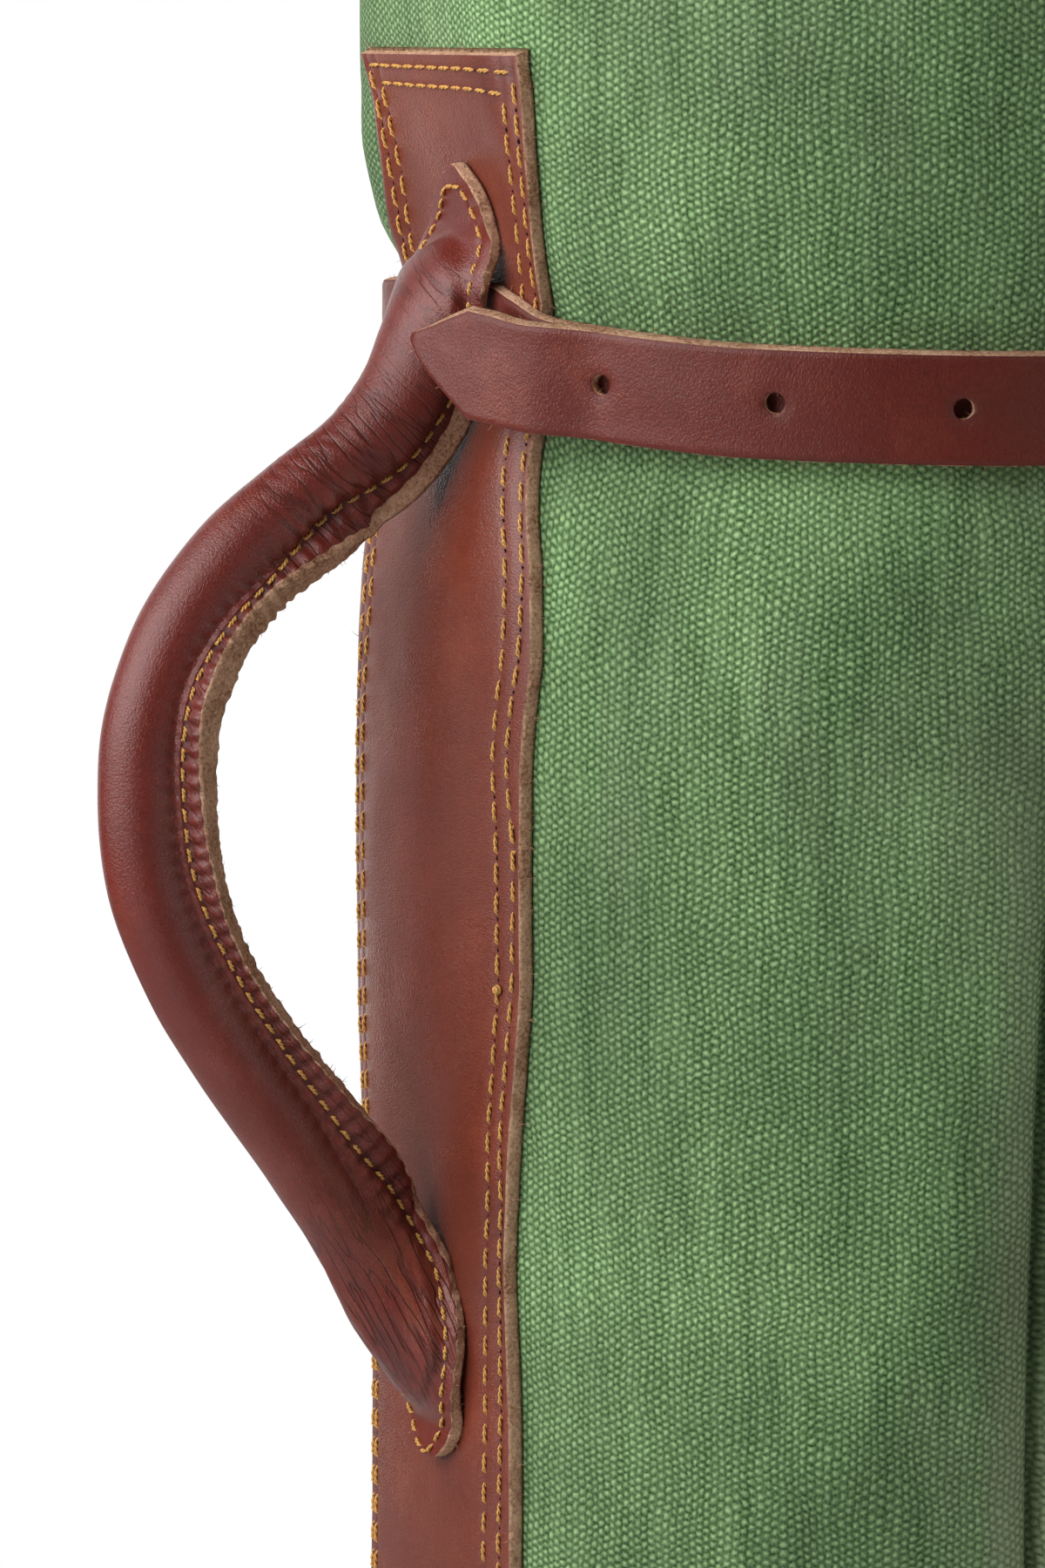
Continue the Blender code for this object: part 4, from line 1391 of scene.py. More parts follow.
def make_side_strip():
    """The strip: level rows up to its top stretch, then rows that turn into its slanting top."""
    sections, shade = [], []
    levels = strip_levels()
    last = levels[-1] + 2 * MM
    lines = [(level, None) for level in levels]
    lines += [(STRIP_TURN_LEVEL + 4 * MM, share) for share in TOP_SHARES]
    for place, share_up in lines:
        outer, inner, dark = [], [], []
        for across, beneath in zip(strip_columns(place, STRIP_SKIVE), strip_columns(place)):
            level = back = place
            if share_up is not None:
                top = strip_top_level(across)
                level = last + (top - STRIP_BEVEL - last) * share_up
                back = last + (top - last) * share_up
            outer.append(strip_place(level, across, 0.0))
            inner.append(canvas_point(strip_azimuth(back, beneath), back, GAP))
            # Painted shade and light: the face darkens where its relief dips, in the stitch grooves and at
            # its rounded edges, and pales where it swells
            dark.append(min(-strip_relief(level, across) / MM * 1.6, 0.7))

        def wall(side, share):
            at = outer[-1] if side > 0 else outer[0]
            fuzz = rough(at + Vector((0, 0, share * 2 * MM)), 1.6 * MM, 2.0) * 0.35 + 0.15
            way = (outer[-1] - outer[-2]) if side > 0 else (outer[0] - outer[1])
            return way.normalized() * fuzz * MM

        sections.append(slab_loop(outer, inner, wall))
        shade.append(dark)
    strip = leather_skin("leather_side_strip", sections, hide(), {"shade": shade})
    settle(strip, "side_strip")
    fray(strip, "strip_edge_fibres")


# Handle


def over_span(name, t):
    """1 over a named stretch of the handle, and 0 outside it."""
    span = HANDLE_SPANS[name]
    return ramp((t - span["low"]) / span["rise"]) * ramp((span["high"] - t) / span["fall"])


def near_place(name, t):
    """1 at a named place of the handle, and less further from it."""
    return bell(t - HANDLE_PLACES[name]["place"], HANDLE_PLACES[name]["width"])


def handle_row(t):
    """The handle's sizes at a place along its table, where 0 is the first row."""
    columns = [name for name in HANDLE[0] if name not in ("height", "reach")]
    row = {name: along(HANDLE_ROWS, "at", name, t) for name in columns}
    low = min(int(t), len(HANDLE) - 2)
    laid = [1.0 if HANDLE[k]["reach"] == 0 else 0.0 for k in (low, low + 1)]
    row["laid"] = laid[0] + (laid[1] - laid[0]) * ramp(t - low)
    row["t"] = t
    # The sewn foot leans a little
    row["twist"] -= 10 * near_place("leaning", t)
    return row


def handle_backs():
    """Points down the middle of the handle's back. Where it is laid, it lies on the strip."""
    backs = []
    for row in HANDLE:
        z, y = row["height"] * MM, -row["aside"] * MM
        seat = strip_face_reach(y, z) + 1.6 * GAP + HANDLE_THICKNESS / 2
        backs.append(Vector((-(row["reach"] * MM or seat), y, z)))
    return backs


def handle_stations(step):
    """Stations a step apart along the handle's back: place in the table, point, normal."""
    fine = curve_through(handle_backs(), BACK_STEPS)
    lengths = measured(fine)
    count = round(lengths[-1] / step)
    stations = []
    for k in range(count + 1):
        target = lengths[-1] * k / count
        i, share = place_along(lengths, target)
        way = fine[min(i + 4, len(fine) - 1)] - fine[max(i - 3, 0)]
        stations.append(
            {
                "t": (i + share) / BACK_STEPS,
                "s": target,
                "back": fine[i].lerp(fine[i + 1], share),
                "normal": Vector((way.z, 0, -way.x)).normalized(),
            }
        )
    return stations


def hide_section(row):
    """Functions that place a point of the leather's middle layer, by its arc from the back."""
    turn = math.radians(max(row["turn"], 1.0))
    leg = max(row["leg"] * MM, 0.3 * MM)
    radius = (row["half"] * MM - leg) / turn
    closing = ramp((row["turn"] - 100) / 60)
    down = min(turn, math.pi / 2 + (turn - math.pi / 2) * (1 - closing))
    bend = radius * turn
    half = bend + leg
    # Just under the strap, and again at its lower end, the near leg splays out as a foot
    foot = max(6.5 * MM * over_span("neck", row["t"]), 10.0 * MM * over_span("heel", row["t"]))
    # There its near side is pressed flat, from the back's ridge to the edge
    flat = 0.7 * over_span("flat", row["t"])

    def bent(reach, near):
        angle = min(reach / radius, turn)
        y, depth = radius * math.sin(angle), radius * math.cos(angle)
        if reach > bend:
            share = (reach - bend) / leg
            y += leg * math.cos(down) * share
            depth -= leg * math.sin(down) * share
            angle += (down - angle) * min(share, 1)
        splayed = max(reach - (half - foot), 0) if near and foot > 0.1 * MM else 0
        if splayed:
            share = splayed / foot
            y += 0.3 * splayed * share
            angle -= (angle - 0.5) * ramp(1.6 * share)
        return y, depth, angle

    last_y, last_depth, _ = bent(half, True)
    lean = math.atan2(radius - last_depth, last_y)

    def middle(arc):
        side = -1 if arc < 0 else 1
        y, depth, angle = bent(abs(arc), side < 0)
        if side < 0 and flat:
            share = abs(arc) / half
            y += (last_y * share - y) * flat
            depth += (radius + (last_depth - radius) * share - depth) * flat
            angle += (lean - angle) * flat * ramp(3 * share)
        return side * y, depth, side * angle

    return middle, radius, bend, half


def placed(station, row, radius, across, depth):
    """A place of the section as a point in space."""
    twist = math.radians(row["twist"])
    y = across * math.cos(twist) + depth * math.sin(twist)
    d = depth * math.cos(twist) - across * math.sin(twist)
    back = station["back"]
    point = back + station["normal"] * (d - radius) + Vector((0, y, 0))
    if row["laid"]:
        point.x += row["laid"] * (strip_face_reach(back.y, back.z) - strip_face_reach(point.y, back.z))
    return point


def seam_arc(t, half, leg):
    """How far from the back the handle's seam runs, in metres of arc."""
    margin = (3.2 + 1.6 * near_place("tab", t) + 0.8 * near_place("tongue", t)) * MM
    drawn_in = 3.6 * MM * over_span("pinched", t)
    return half - margin - drawn_in - (leg - margin - 3.2 * MM) * over_span("seamed", t) * (leg > margin)


def lines_of_folds(across, run, seed):
    """Parallel folds that wander and fade: 1 in a crease, and 0 between them."""
    wander = 1.1 * noise.noise(Vector((across * 0.33, run, seed)))
    strength = ramp(0.55 + 1.6 * noise.noise(Vector((across * 0.45, run * 1.4, seed + 7))))
    wave = 0.5 - 0.5 * math.cos(2 * math.pi * (across + wander))
    return (wave**2) * strength


def handle_relief(station, row, arc, bend, half):
    """Height of the grip over its plain form, and its looks there: its painted shade, how rubbed it
    is, which is partly painted sheen, and how wrinkled across and along."""
    t, s = station["t"], station["s"]
    seam = seam_arc(t, half, half - bend)
    off = (abs(arc) - seam) / MM
    wave = math.cos(2 * math.pi * s / sizes().grip_pitch + 0.8 * rough(station["back"], 9 * MM))
    closed = over_span("closed", t)
    # Each stitch draws the seam in, and the flange beyond it puckers
    drawn = (0.3 + 0.15 * wave + 0.85 * closed) * bell(off, 0.8 + 0.5 * closed) * over_span("sewn", t)
    if off > 0:
        pucker = 0.6 * wave * closed * bell(off - 1.6, 2.0)
    else:
        pucker = (0.3 * wave + 0.5) * closed * bell(off + 2.2, 2.2)
    # The hollow grip starts as a round nose inside the flat tab's stitches, and ends as one
    nose = (arc / max(seam, 1 * MM)) ** 2
    pillow = 1.5 * ramp((t - 3.4 - 1.8 * nose) / 1.3) * ramp((25.4 - 1.4 * nose - t) / 0.8)
    pillow *= ramp((-off - 0.6) / 2.4) * (1 - closed)
    # Folds run across the upper neck near its seam, and fan out lengthwise over the lower one
    near_seam = ramp((off + 22) / 14)
    upper = near_place("upper_folds", t) * near_seam * ramp((5 - off) / 5)
    lower = near_place("lower_folds", t) * ramp((-off - 0.4) / 1.5)
    crease = 0.0
    if upper > 0.03:
        crease += upper * lines_of_folds((s + 0.25 * abs(arc)) / (3.4 * MM), arc / (9 * MM), 1.0)
    if lower > 0.03:
        crease += lower * lines_of_folds(arc * 17 * MM / half / (3.0 * MM), s / (16 * MM), 4.0)
    point = station["back"] + Vector((0, arc, 0))
    height = pucker + pillow - drawn - 0.34 * crease + 0.2 * rough(point, 14 * MM, 6.0)
    # Painted shade: darker in the folds, in the drawn-in seam, in the puckers' hollows and in the strap's
    # shadow
    dark = 0.2 * crease + 0.5 * drawn - 0.3 * min(pucker, 0) + 0.2 * near_place("strap_shade", t)
    # The swells between folds and the puckers' crests are marked rubbed: paler wax there, and painted sheen
    worn = 0.2 * (upper + lower) * (1 - crease) + max(pucker, 0) * 0.4 * closed
    # On the pressed foot the paler colour is painted sheen alone
    pressed = near_place("pressed", t) * ramp((arc / MM + 24) / 6) * ramp((-arc / MM - 4) / 6)
    worn += 0.72 * pressed * (1 - crease)
    across = 0.75 * near_place("upper_wrinkles", t) * near_seam + 0.6 * closed * bell(off - 1, 3.5)
    across += 0.5 * near_place("shoulder", t) + 0.12 * near_place("under_strap", t)
    looks = (min(dark, 1.0), max(worn, 0), min(across, 1.0), near_place("lower_folds", t))
    return height * MM, looks


def handle_point(station, row, arc, lift=0.0, inside=False):
    """A point on the handle's face, or on the flesh side."""
    middle, radius, bend, half = hide_section(row)
    y, depth, angle = middle(arc)
    reach = HANDLE_THICKNESS / 2
    if inside:
        reach = -reach
    else:
        reach += handle_relief(station, row, arc, bend, half)[0] + lift
    return placed(station, row, radius, y + reach * math.sin(angle), depth + reach * math.cos(angle))


def skived(station, side):
    """How far the face stops short of the flesh side, so that the cut edge shows."""
    wave = math.cos(2 * math.pi * station["s"] / sizes().grip_pitch)
    rim = rough(Vector((0, 0, station["s"])), 3 * MM, 3.0 + side) * 0.25
    short = along(RAW_EDGE, "place", "near" if side < 0 else "far", station["t"])
    return (short + rim - 0.22 * wave) * MM


def handle_arcs(bend, half):
    """Arcs from the back at which a section of the handle has its points."""
    arc = [bend * (2 * k / HANDLE_ARC - 1) for k in range(HANDLE_ARC + 1)]
    leg = [bend + (half - bend) * (k + 1) / HANDLE_LEG for k in range(HANDLE_LEG)]
    return [-a for a in leg[::-1]] + arc + leg


def filled(station, row, outer, inner):
    """The flesh side, closed up to a shaggy cut edge where the grip is filled."""
    count = len(inner)
    made = []
    for k, point in enumerate(inner):
        full = outer[0].lerp(outer[-1], (k + 1) / (count + 1))
        if row["fill"] > 0:
            shag = rough(full, 1.3 * MM, 9.0) * 0.3 * MM * row["fill"]
            split = -0.5 * MM * bell((k / count - 0.5) * 8, 0.6) * row["fill"]
            full = full - station["normal"] * (shag + split + skived(station, -1) * 0.8)
        made.append(point.lerp(full, row["fill"]))
    return made


def make_handle():
    """The handle: sections of one sheet of leather that rolls up to a grip and opens again."""
    sections, looks = [], []
    for station in handle_stations(HANDLE_STEP):
        row = handle_row(station["t"])
        _, _, bend, half = hide_section(row)
        arcs = handle_arcs(bend, half)
        short = {side: 1 - skived(station, side) / half for side in (-1, 1)}
        faced = [arc * short[-1 if arc < 0 else 1] for arc in arcs]
        outer = [handle_point(station, row, arc) for arc in faced]
        inner = [handle_point(station, row, arc, inside=True) for arc in arcs]

        def wall(side, share):
            at = outer[-1] if side > 0 else outer[0]
            way = (outer[-1] - outer[-3]) if side > 0 else (outer[0] - outer[2])
            fuzz = rough(at + Vector((share * 2 * MM, 0, 0)), 1.4 * MM, 2.0) * 0.3 + 0.08
            return way.normalized() * fuzz * MM

        sections.append(slab_loop(outer, filled(station, row, outer, inner), wall))
        looks.append([handle_relief(station, row, arc, bend, half)[1] for arc in faced])
    marks = {}
    for column, name in enumerate(("shade", "rubbed", "wrinkled_across", "wrinkled_along")):
        marks[name] = [[look[column] for look in line] for line in looks]
    handle = leather_skin("leather_handle", sections, hide("supple grip leather"), marks)
    settle(handle, "handle")
    fray(handle, "handle_edge_fibres")


# Waist strap


def strip_cover(azimuth, level):
    """Height that the side strip adds under the strap."""
    radius = along(BODY, "level", "radius", level / MM)
    shift = along(STRIP_LINE, "level", "shift", level / MM)
    across = turned(azimuth - HANDLE_AZIMUTH) * math.pi / 180 * radius - shift
    beyond = abs(across) - STRIP_WIDTH / 2 / MM
    return (1 - ramp((beyond - STRIP_COVER) / STRIP_RAMP)) * (LEATHER_THICKNESS + GAP)


def free_station(azimuth, lift):
    """A station of the free end, which passes over the strip and the handle's neck."""
    place = turned(azimuth)
    lift += along(FREE_END, "azimuth", "lift", place) * MM
    return azimuth, lift, along(FREE_END, "azimuth", "drop", place) * MM


def strap_stations():
    """Places along the strap's middle layer: azimuth, lift from the canvas, and drop."""
    lying = GAP + STRAP_THICKNESS / 2
    above = lying + STRAP_THICKNESS + GAP

    def through_buckle(rows, around):
        start = BUCKLE_AZIMUTH + around
        return [(start + row["arc"] * MM / arc_degree(), row["lift"] * MM, 0) for row in rows]

    stations = through_buckle(FOLD_PATH, 0)
    over = through_buckle(OVER_PATH, -360)
    azimuth = stations[-1][0] - 6
    while azimuth > over[0][0] + 3:
        stations.append((azimuth, lying, 0))
        azimuth -= 3.5 if abs(turned(azimuth - HANDLE_AZIMUTH)) < 32 else 7
    stations += over
    azimuth = stations[-1][0] - 4
    tip = TIP_AZIMUTH - 360
    taper = TIP_TAPER / arc_degree()
    while azimuth > tip + taper + 2:
        stations.append(free_station(azimuth, above))
        azimuth -= 4
    return stations + [free_station(tip + taper * share, above) for share in (1.0, 0.55, 0.22, 0.03)]


def strap_reach(azimuth):
    """How far the strap reaches below and above its middle: it is cut to a blunt point,
    which lies a little above the middle."""
    share = (azimuth - (TIP_AZIMUTH - 360)) * arc_degree() / TIP_TAPER
    share = min(max(share, 0.03), 1.0)
    raised = TIP_RAISE * (1 - share)
    return STRAP_WIDTH / 2 * share**0.5 - raised, STRAP_WIDTH / 2 * share + raised


def strap_relief(azimuth, up):
    """The strap's face dips round its punched holes and rolls off at its edges."""
    below, above = strap_reach(azimuth)
    edge = min(above / MM - up, up + below / MM)
    height = -0.32 * bell(max(edge, 0), 0.55)
    for hole in HOLE_AZIMUTHS:
        arc = turned(azimuth - hole) * arc_degree() / MM
        if abs(arc) < 8:
            off = math.hypot(arc, up) - HOLE_RADIUS / MM
            height -= 0.4 * bell(max(off, 0), 0.9)
    point = at_azimuth(azimuth, 0.1, up * MM + azimuth * 0.001)
    return (height + 0.2 * rough(point, 16 * MM, 2.0) + 0.08 * rough(point, 5 * MM, 7.0)) * MM


def strap_cutters():
    """The strap's punched holes, and the room that the prong takes: start, end and radius."""
    lying = GAP + STRAP_THICKNESS / 2
    cutters = []
    for azimuth in HOLE_AZIMUTHS:
        lift, drop = lying, 0
        if azimuth < BUCKLE_AZIMUTH:
            _, lift, drop = free_station(azimuth - 360, lying + STRAP_THICKNESS + GAP)
        low = canvas_point(azimuth, STRAP_LEVEL, lift - STRAP_THICKNESS / 2 - GAP / 2)
        high = canvas_point(azimuth, STRAP_LEVEL, lift + 2 * STRAP_THICKNESS)
        down = Vector((0, 0, -drop))
        cutters.append((low + down, high + down, HOLE_RADIUS))
    root, tip = prong_line()
    return cutters + [(root, root.lerp(tip, 0.6), PRONG_RADIUS + PRONG_ROOM)]


def strap_faces(place, way):
    """The strap's face and its flesh side at a place of its path, and the face's painted shade."""
    across = Vector((way.y, -way.x)).normalized() * STRAP_THICKNESS / 2
    azimuth, lift, drop = place.x / arc_degree(), place.y, place.z
    below, above = strap_reach(azimuth)
    faces, dark = [], []
    for side in (1, -1):
        line = []
        for k in range(STRAP_COLUMNS + 1):
            share = 0.5 + 0.5 * math.sin(math.pi / 2 * (2 * k / STRAP_COLUMNS - 1))
            up = (below + above) * share - below
            relief = strap_relief(azimuth, up / MM) if side > 0 else 0.0
            if side > 0:
                # Painted shade: the face darkens where its relief dips, most round the holes and at the
                # edges
                dark.append(min(max(-relief / MM, 0) * 1.5, 0.8))
                up -= STRAP_BEVEL * min((below + above) / STRAP_WIDTH, 0.5) * 2 * share
            at = azimuth + side * across.x / arc_degree()
            height = STRAP_LEVEL + up
            reach = strip_cover(at, height) + lift + side * across.y * (1 + relief / (STRAP_THICKNESS / 2))
            line.append(canvas_point(at, height, reach) - Vector((0, 0, drop)))
        faces.append(line)
    return faces[0], faces[1], dark


def make_waist_strap():
    """The strap: sections along its path, then its holes are punched."""
    rows = [Vector((azimuth * arc_degree(), lift, drop)) for azimuth, lift, drop in strap_stations()]
    path = smooth_path(rows, STRAP_STEP)
    sections, shade = [], []
    for i, place in enumerate(path):
        way = path[min(i + 1, len(path) - 1)] - path[max(i - 1, 0)]
        outer, inner, dark = strap_faces(place, way)

        def wall(side, share):
            at = outer[-1] if side > 0 else outer[0]
            fuzz = rough(at + Vector((share * 2 * MM, 0, 0)), 1.5 * MM, 3.0) * 0.25 + 0.05
            return Vector((0, 0, side * fuzz * MM))

        sections.append(slab_loop(outer, inner, wall))
        shade.append(dark)
    strap = leather_skin("leather_waist_strap", sections, hide("waxed strap leather"), {"shade": shade})
    for start, end, radius in strap_cutters():
        punch(strap, start, end, radius)
    outward(strap)
    settle(strap, "waist_strap")
    fray(strap, "strap_edge_fibres")


# Buckle


def at_buckle(arc, lift, above=0.0):
    """A point so far from the bar along the strap, over the canvas, and above its middle."""
    azimuth = BUCKLE_AZIMUTH + arc / arc_degree()
    foot = canvas_point(azimuth, STRAP_LEVEL - STRAP_WIDTH / 2, lift)
    head = canvas_point(azimuth, STRAP_LEVEL + STRAP_WIDTH / 2, lift)
    return foot.lerp(head, 0.5 + above / STRAP_WIDTH)


def prong_line():
    """The prong from its root on the bar to its tip, which rests on the frame."""
    root = at_buckle(0, BAR_LIFT)
    tip = at_buckle(FRAME_LENGTH + 2.6 * MM, FRAME_LIFT + (FRAME_RADIUS + PRONG_RADIUS) * 0.95)
    return root, tip


def make_buckle():
    """The frame is a bent rod, and the prong hangs on its bar by a knuckle."""
    foot = at_buckle(0, BAR_LIFT, -FRAME_HALF_HEIGHT)
    head = at_buckle(0, BAR_LIFT, FRAME_HALF_HEIGHT)
    far_foot = at_buckle(FRAME_LENGTH, FRAME_LIFT, -FRAME_HALF_HEIGHT)
    far_head = at_buckle(FRAME_LENGTH, FRAME_LIFT, FRAME_HALF_HEIGHT)
    forward, up = far_foot - foot, head - foot
    rim = bent_rod("brass_buckle", forward.length, up.length, FRAME_CORNER, FRAME_RADIUS)
    put_at(rim, (foot + head + far_foot + far_head) / 4, forward.cross(up), forward)
    root, tip = prong_line()
    long = (tip - root).length
    prong = turned_rod("prong", PRONG_RADIUS, [(long * share, scale) for share, scale in PRONG_TAPER])
    put_at(prong, root, tip - root, up)
    knuckle = turned_rod("knuckle", KNUCKLE_RADIUS, KNUCKLE_PARTS)
    put_at(knuckle, root - up.normalized() * KNUCKLE_DROP, up, forward)
    bpy.ops.object.select_all(action="DESELECT")
    for part in (prong, knuckle, rim):
        part.select_set(True)
    bpy.context.view_layer.objects.active = rim
    bpy.ops.object.join()
    rim.data.materials.clear()
    rim.data.materials.append(shared("cast brass", brass_material))
    outward(rim)
    settle(rim, "buckle")


# Stitches


def knot(heap, point, out, size):
    """A small thread knot: two turns that lie over each other."""
    side = out.orthogonal().normalized()
    other = out.cross(side)
    for k, reach in ((0, 1.0), (1, 0.7)):
        ring = []
        for i in range(8):
            a = 2 * math.pi * i / 8 + k
            around = side * math.cos(a) + other * math.sin(a)
            ring.append(point + around * size * 0.75 * reach + out * size * (0.3 + 0.5 * k))
        heap.add(tube(ring, size * 0.42, 6, ends=False))


def stitch(heap, start, end, out_start, out_end, proud):
    """One stitch of two-ply thread, whose ends dip into the face."""
    size = sizes().thread_size
    way = end - start
    forward = way.normalized()
    coil = size * 0.27
    for ply in (0, 1):
        path = []
        for k in range(10):
            t = k / 9
            out = out_start.lerp(out_end, t).normalized()
            side = forward.cross(out).normalized()
            up = size * (proud - 1.0 * (1 - ramp(min(t, 1 - t) * 4.2)))
            angle = math.pi * (2 * THREAD_TURNS * t + ply)
            path.append(
                start + way * t + out * (up + coil * math.sin(angle)) + side * coil * math.cos(angle)
            )
        heap.add(tube(path, size * 0.29, 5))


def needle_hole(heap, centre, out, forward):
    """A small dark pit, as a lens that lies just in the face."""
    radius = sizes().needle_hole / 2
    side = forward.cross(out).normalized()
    forward = out.cross(side)
    points = []
    for k in range(8):
        a = 2 * math.pi * k / 8
        around = forward * 1.25 * math.cos(a) + side * math.sin(a)
        points.append(centre + around * radius - out * 0.02 * MM)
    points += [centre + out * 0.06 * MM, centre - out * 0.4 * MM]
    faces = [(k, (k + 1) % 8, 8) for k in range(8)] + [((k + 1) % 8, k, 9) for k in range(8)]
    heap.add((points, faces), 1)


def sew(heap, line, pitch, chance, gap=0.16, holes=True):
    """Stitches along a line of (point, outward way) pairs, a pitch apart."""
    lengths = measured([point for point, _ in line])
    count = max(round(lengths[-1] / pitch), 1)

    def at(distance):
        i, share = place_along(lengths, min(max(distance, 0), lengths[-1]))
        (point, out), (after, out_after) = line[i], line[i + 1]
        return point.lerp(after, share), out.lerp(out_after, share).normalized()

    step = lengths[-1] / count
    for k in range(count):
        low = (k + gap * (0.5 + 0.2 * chance.random())) * step
        high = (k + 1 - gap * (0.5 + 0.2 * chance.random())) * step
        start, out_start = at(low)
        end, out_end = at(high)
        lean = out_start.cross(end - start).normalized() * chance.uniform(-0.12, 0.12) * MM
        stitch(heap, start - lean, end + lean, out_start, out_end, 0.3 + 0.08 * chance.random())
        if holes:
            centre, out = at(k * step)
            needle_hole(heap, centre, out, (end - start).normalized())


def strip_seam(name):
    """A row of stitches round the strip: up its right side, over its top, down its left."""
    foot = STRIP_FOOT_LEVEL + SEAM_FEET[name] * MM

    def put(level, across):
        return strip_place(level, across, 0.0), at_azimuth(strip_azimuth(level, across), 1, 0)

    def side(way, start, end):
        label = "right" if way > 0 else "left"
        found, level = [], start
        while (end - level) * way > 0:
            found.append(put(level, way * (STRIP_HALF - row_margin(level, f"{label}_{name}"))))
            level += way * SEAM_STEP
        return found

    top_right = strip_top_level(30) - top_margin(32, name) * MM
    top_left = strip_top_level(-30) - top_margin(-32, name) * MM
    right = STRIP_HALF - row_margin(top_right, f"right_{name}")
    left = -STRIP_HALF + row_margin(top_left, f"left_{name}")
    top = []
    for k in range(41):
        across = right + (left - right) * k / 40
        top.append(put(strip_top_level(across) - top_margin(across, name) * MM, across))
    return side(1, foot, top_right), top, side(-1, top_left, foot)


def tack_line(tack, name):
    """Where the thread was tacked back, just outside a row of the strip's right side."""
    line = []
    for k in range(6):
        level = (tack["low"] + (tack["high"] - tack["low"]) * k / 5) * MM
        across = STRIP_HALF - row_margin(level, f"right_{name}") + 0.35
        azimuth = strip_azimuth(level, across)
        line.append((strip_place(level, across, 0.25 * MM), at_azimuth(azimuth, 1, 0)))
    return line


def make_strip_stitches():
    """The strip's outer and inner rows, with their knot and their tacked thread."""
    chance = random.Random(11)
    for name in ("outer", "inner"):
        heap = Heap()
        for line in strip_seam(name):
            sew(heap, line, sizes().stitch_pitch, chance)
        for tack in TACKS:
            if tack["row"] != name:
                continue
            line = tack_line(tack, name)
            if tack["knotted"]:
                knot(heap, *line[0], 0.9 * MM)
            else:
                sew(heap, line, TACK_PITCH, chance, holes=False)
        settle(heap.made(f"strip_stitches_{name}", sewing()), None)


def handle_seam(side):
    """The handle's seam on one of its sides, from the top tab to the lower tongue."""
    line = []
    for station in handle_stations(HANDLE_SEAM_STEP):
        row = handle_row(station["t"])
        _, _, bend, half = hide_section(row)
        arc = seam_arc(station["t"], half, half - bend)
        if arc < 0.4 * MM or not 1.6 < station["t"] < 28.2:
            continue
        point = handle_point(station, row, arc * side)
        out = handle_point(station, row, arc * side, 1 * MM) - point
        line.append((point, out.normalized()))
    return line


def make_handle_stitches():
    """The handle's two seams, and the short rows that join them over its tab and its tongue."""
    chance = random.Random(23)
    heap = Heap()
    sides = [handle_seam(-1), handle_seam(1)]
    lines = list(sides)
    for end in (0, -1):
        (first, out), (last, out_last) = sides[0][end], sides[1][end]
        lines.append([(first.lerp(last, k / 8), out.lerp(out_last, k / 8).normalized()) for k in range(9)])
    for line in lines:
        sew(heap, line, sizes().grip_pitch, chance, 0.2, holes=False)
    settle(heap.made("handle_stitches", sewing()), None)


def make_hem_stitches():
    """The row of stitches that holds the hem at the mouth."""
    heap = Heap()
    line = []
    for azimuth in range(-180, 181, 2):
        line.append((canvas_point(azimuth, HEM_SEAM_LEVEL, 0.05 * MM), at_azimuth(azimuth, 1, 0)))
    sew(heap, line, HEM_PITCH, random.Random(31))
    settle(heap.made("hem_stitches", sewing()), None)


# Stage


def make_floor():
    """A pale round floor, just under the bag."""
    bpy.ops.mesh.primitive_circle_add(
        vertices=128, radius=FLOOR_RADIUS, fill_type="NGON", location=(0, 0, -0.5 * MM)
    )
    floor = bpy.context.object
    floor.name = "studio_floor"
    paint = {"Base Color": (*tint("floor"), 1), "Roughness": 0.9, "Specular IOR Level": 0.1}
    floor.data.materials.append(new_material("painted studio floor", paint)[0])


def make_surround():
    """A white background for the camera, which gives the bag little light itself."""
    world = bpy.data.worlds.new("studio")
    bpy.context.scene.world = world
    world.use_nodes = True
    tree = world.node_tree
    white = (1, 1, 1, 1)
    dim = tree.nodes["Background"]
    fill(tree, dim, {"Color": white, "Strength": SURROUND})
    bright = node(tree, "Background", {"Color": white, "Strength": 1.0})
    seen = node(tree, "LightPath").outputs["Is Camera Ray"]
    both = node(tree, "MixShader", (seen, dim, bright))
    fill(tree, tree.nodes["World Output"], {"Surface": both})
    bpy.context.scene.view_settings.view_transform = "Standard"


def make_lights():
    """The softboxes, all aimed at the grip."""
    for i, row in enumerate(LIGHTS):
        lamp = bpy.data.lights.new(f"softbox_{i + 1}", "AREA")
        lamp.shape = "RECTANGLE"
        lamp.size = row["width"]
        lamp.size_y = row["tall"]
        lamp.energy = row["power"]
        holder = bpy.data.objects.new(lamp.name, lamp)
        holder.location = at_azimuth(row["azimuth"], row["distance"], row["height"])
        aim = Vector((0, 0, LIGHTS_AIM)) - holder.location
        holder.rotation_euler = aim.to_track_quat("-Z", "Y").to_euler()
        holder.visible_camera = False
        bpy.context.scene.collection.objects.link(holder)


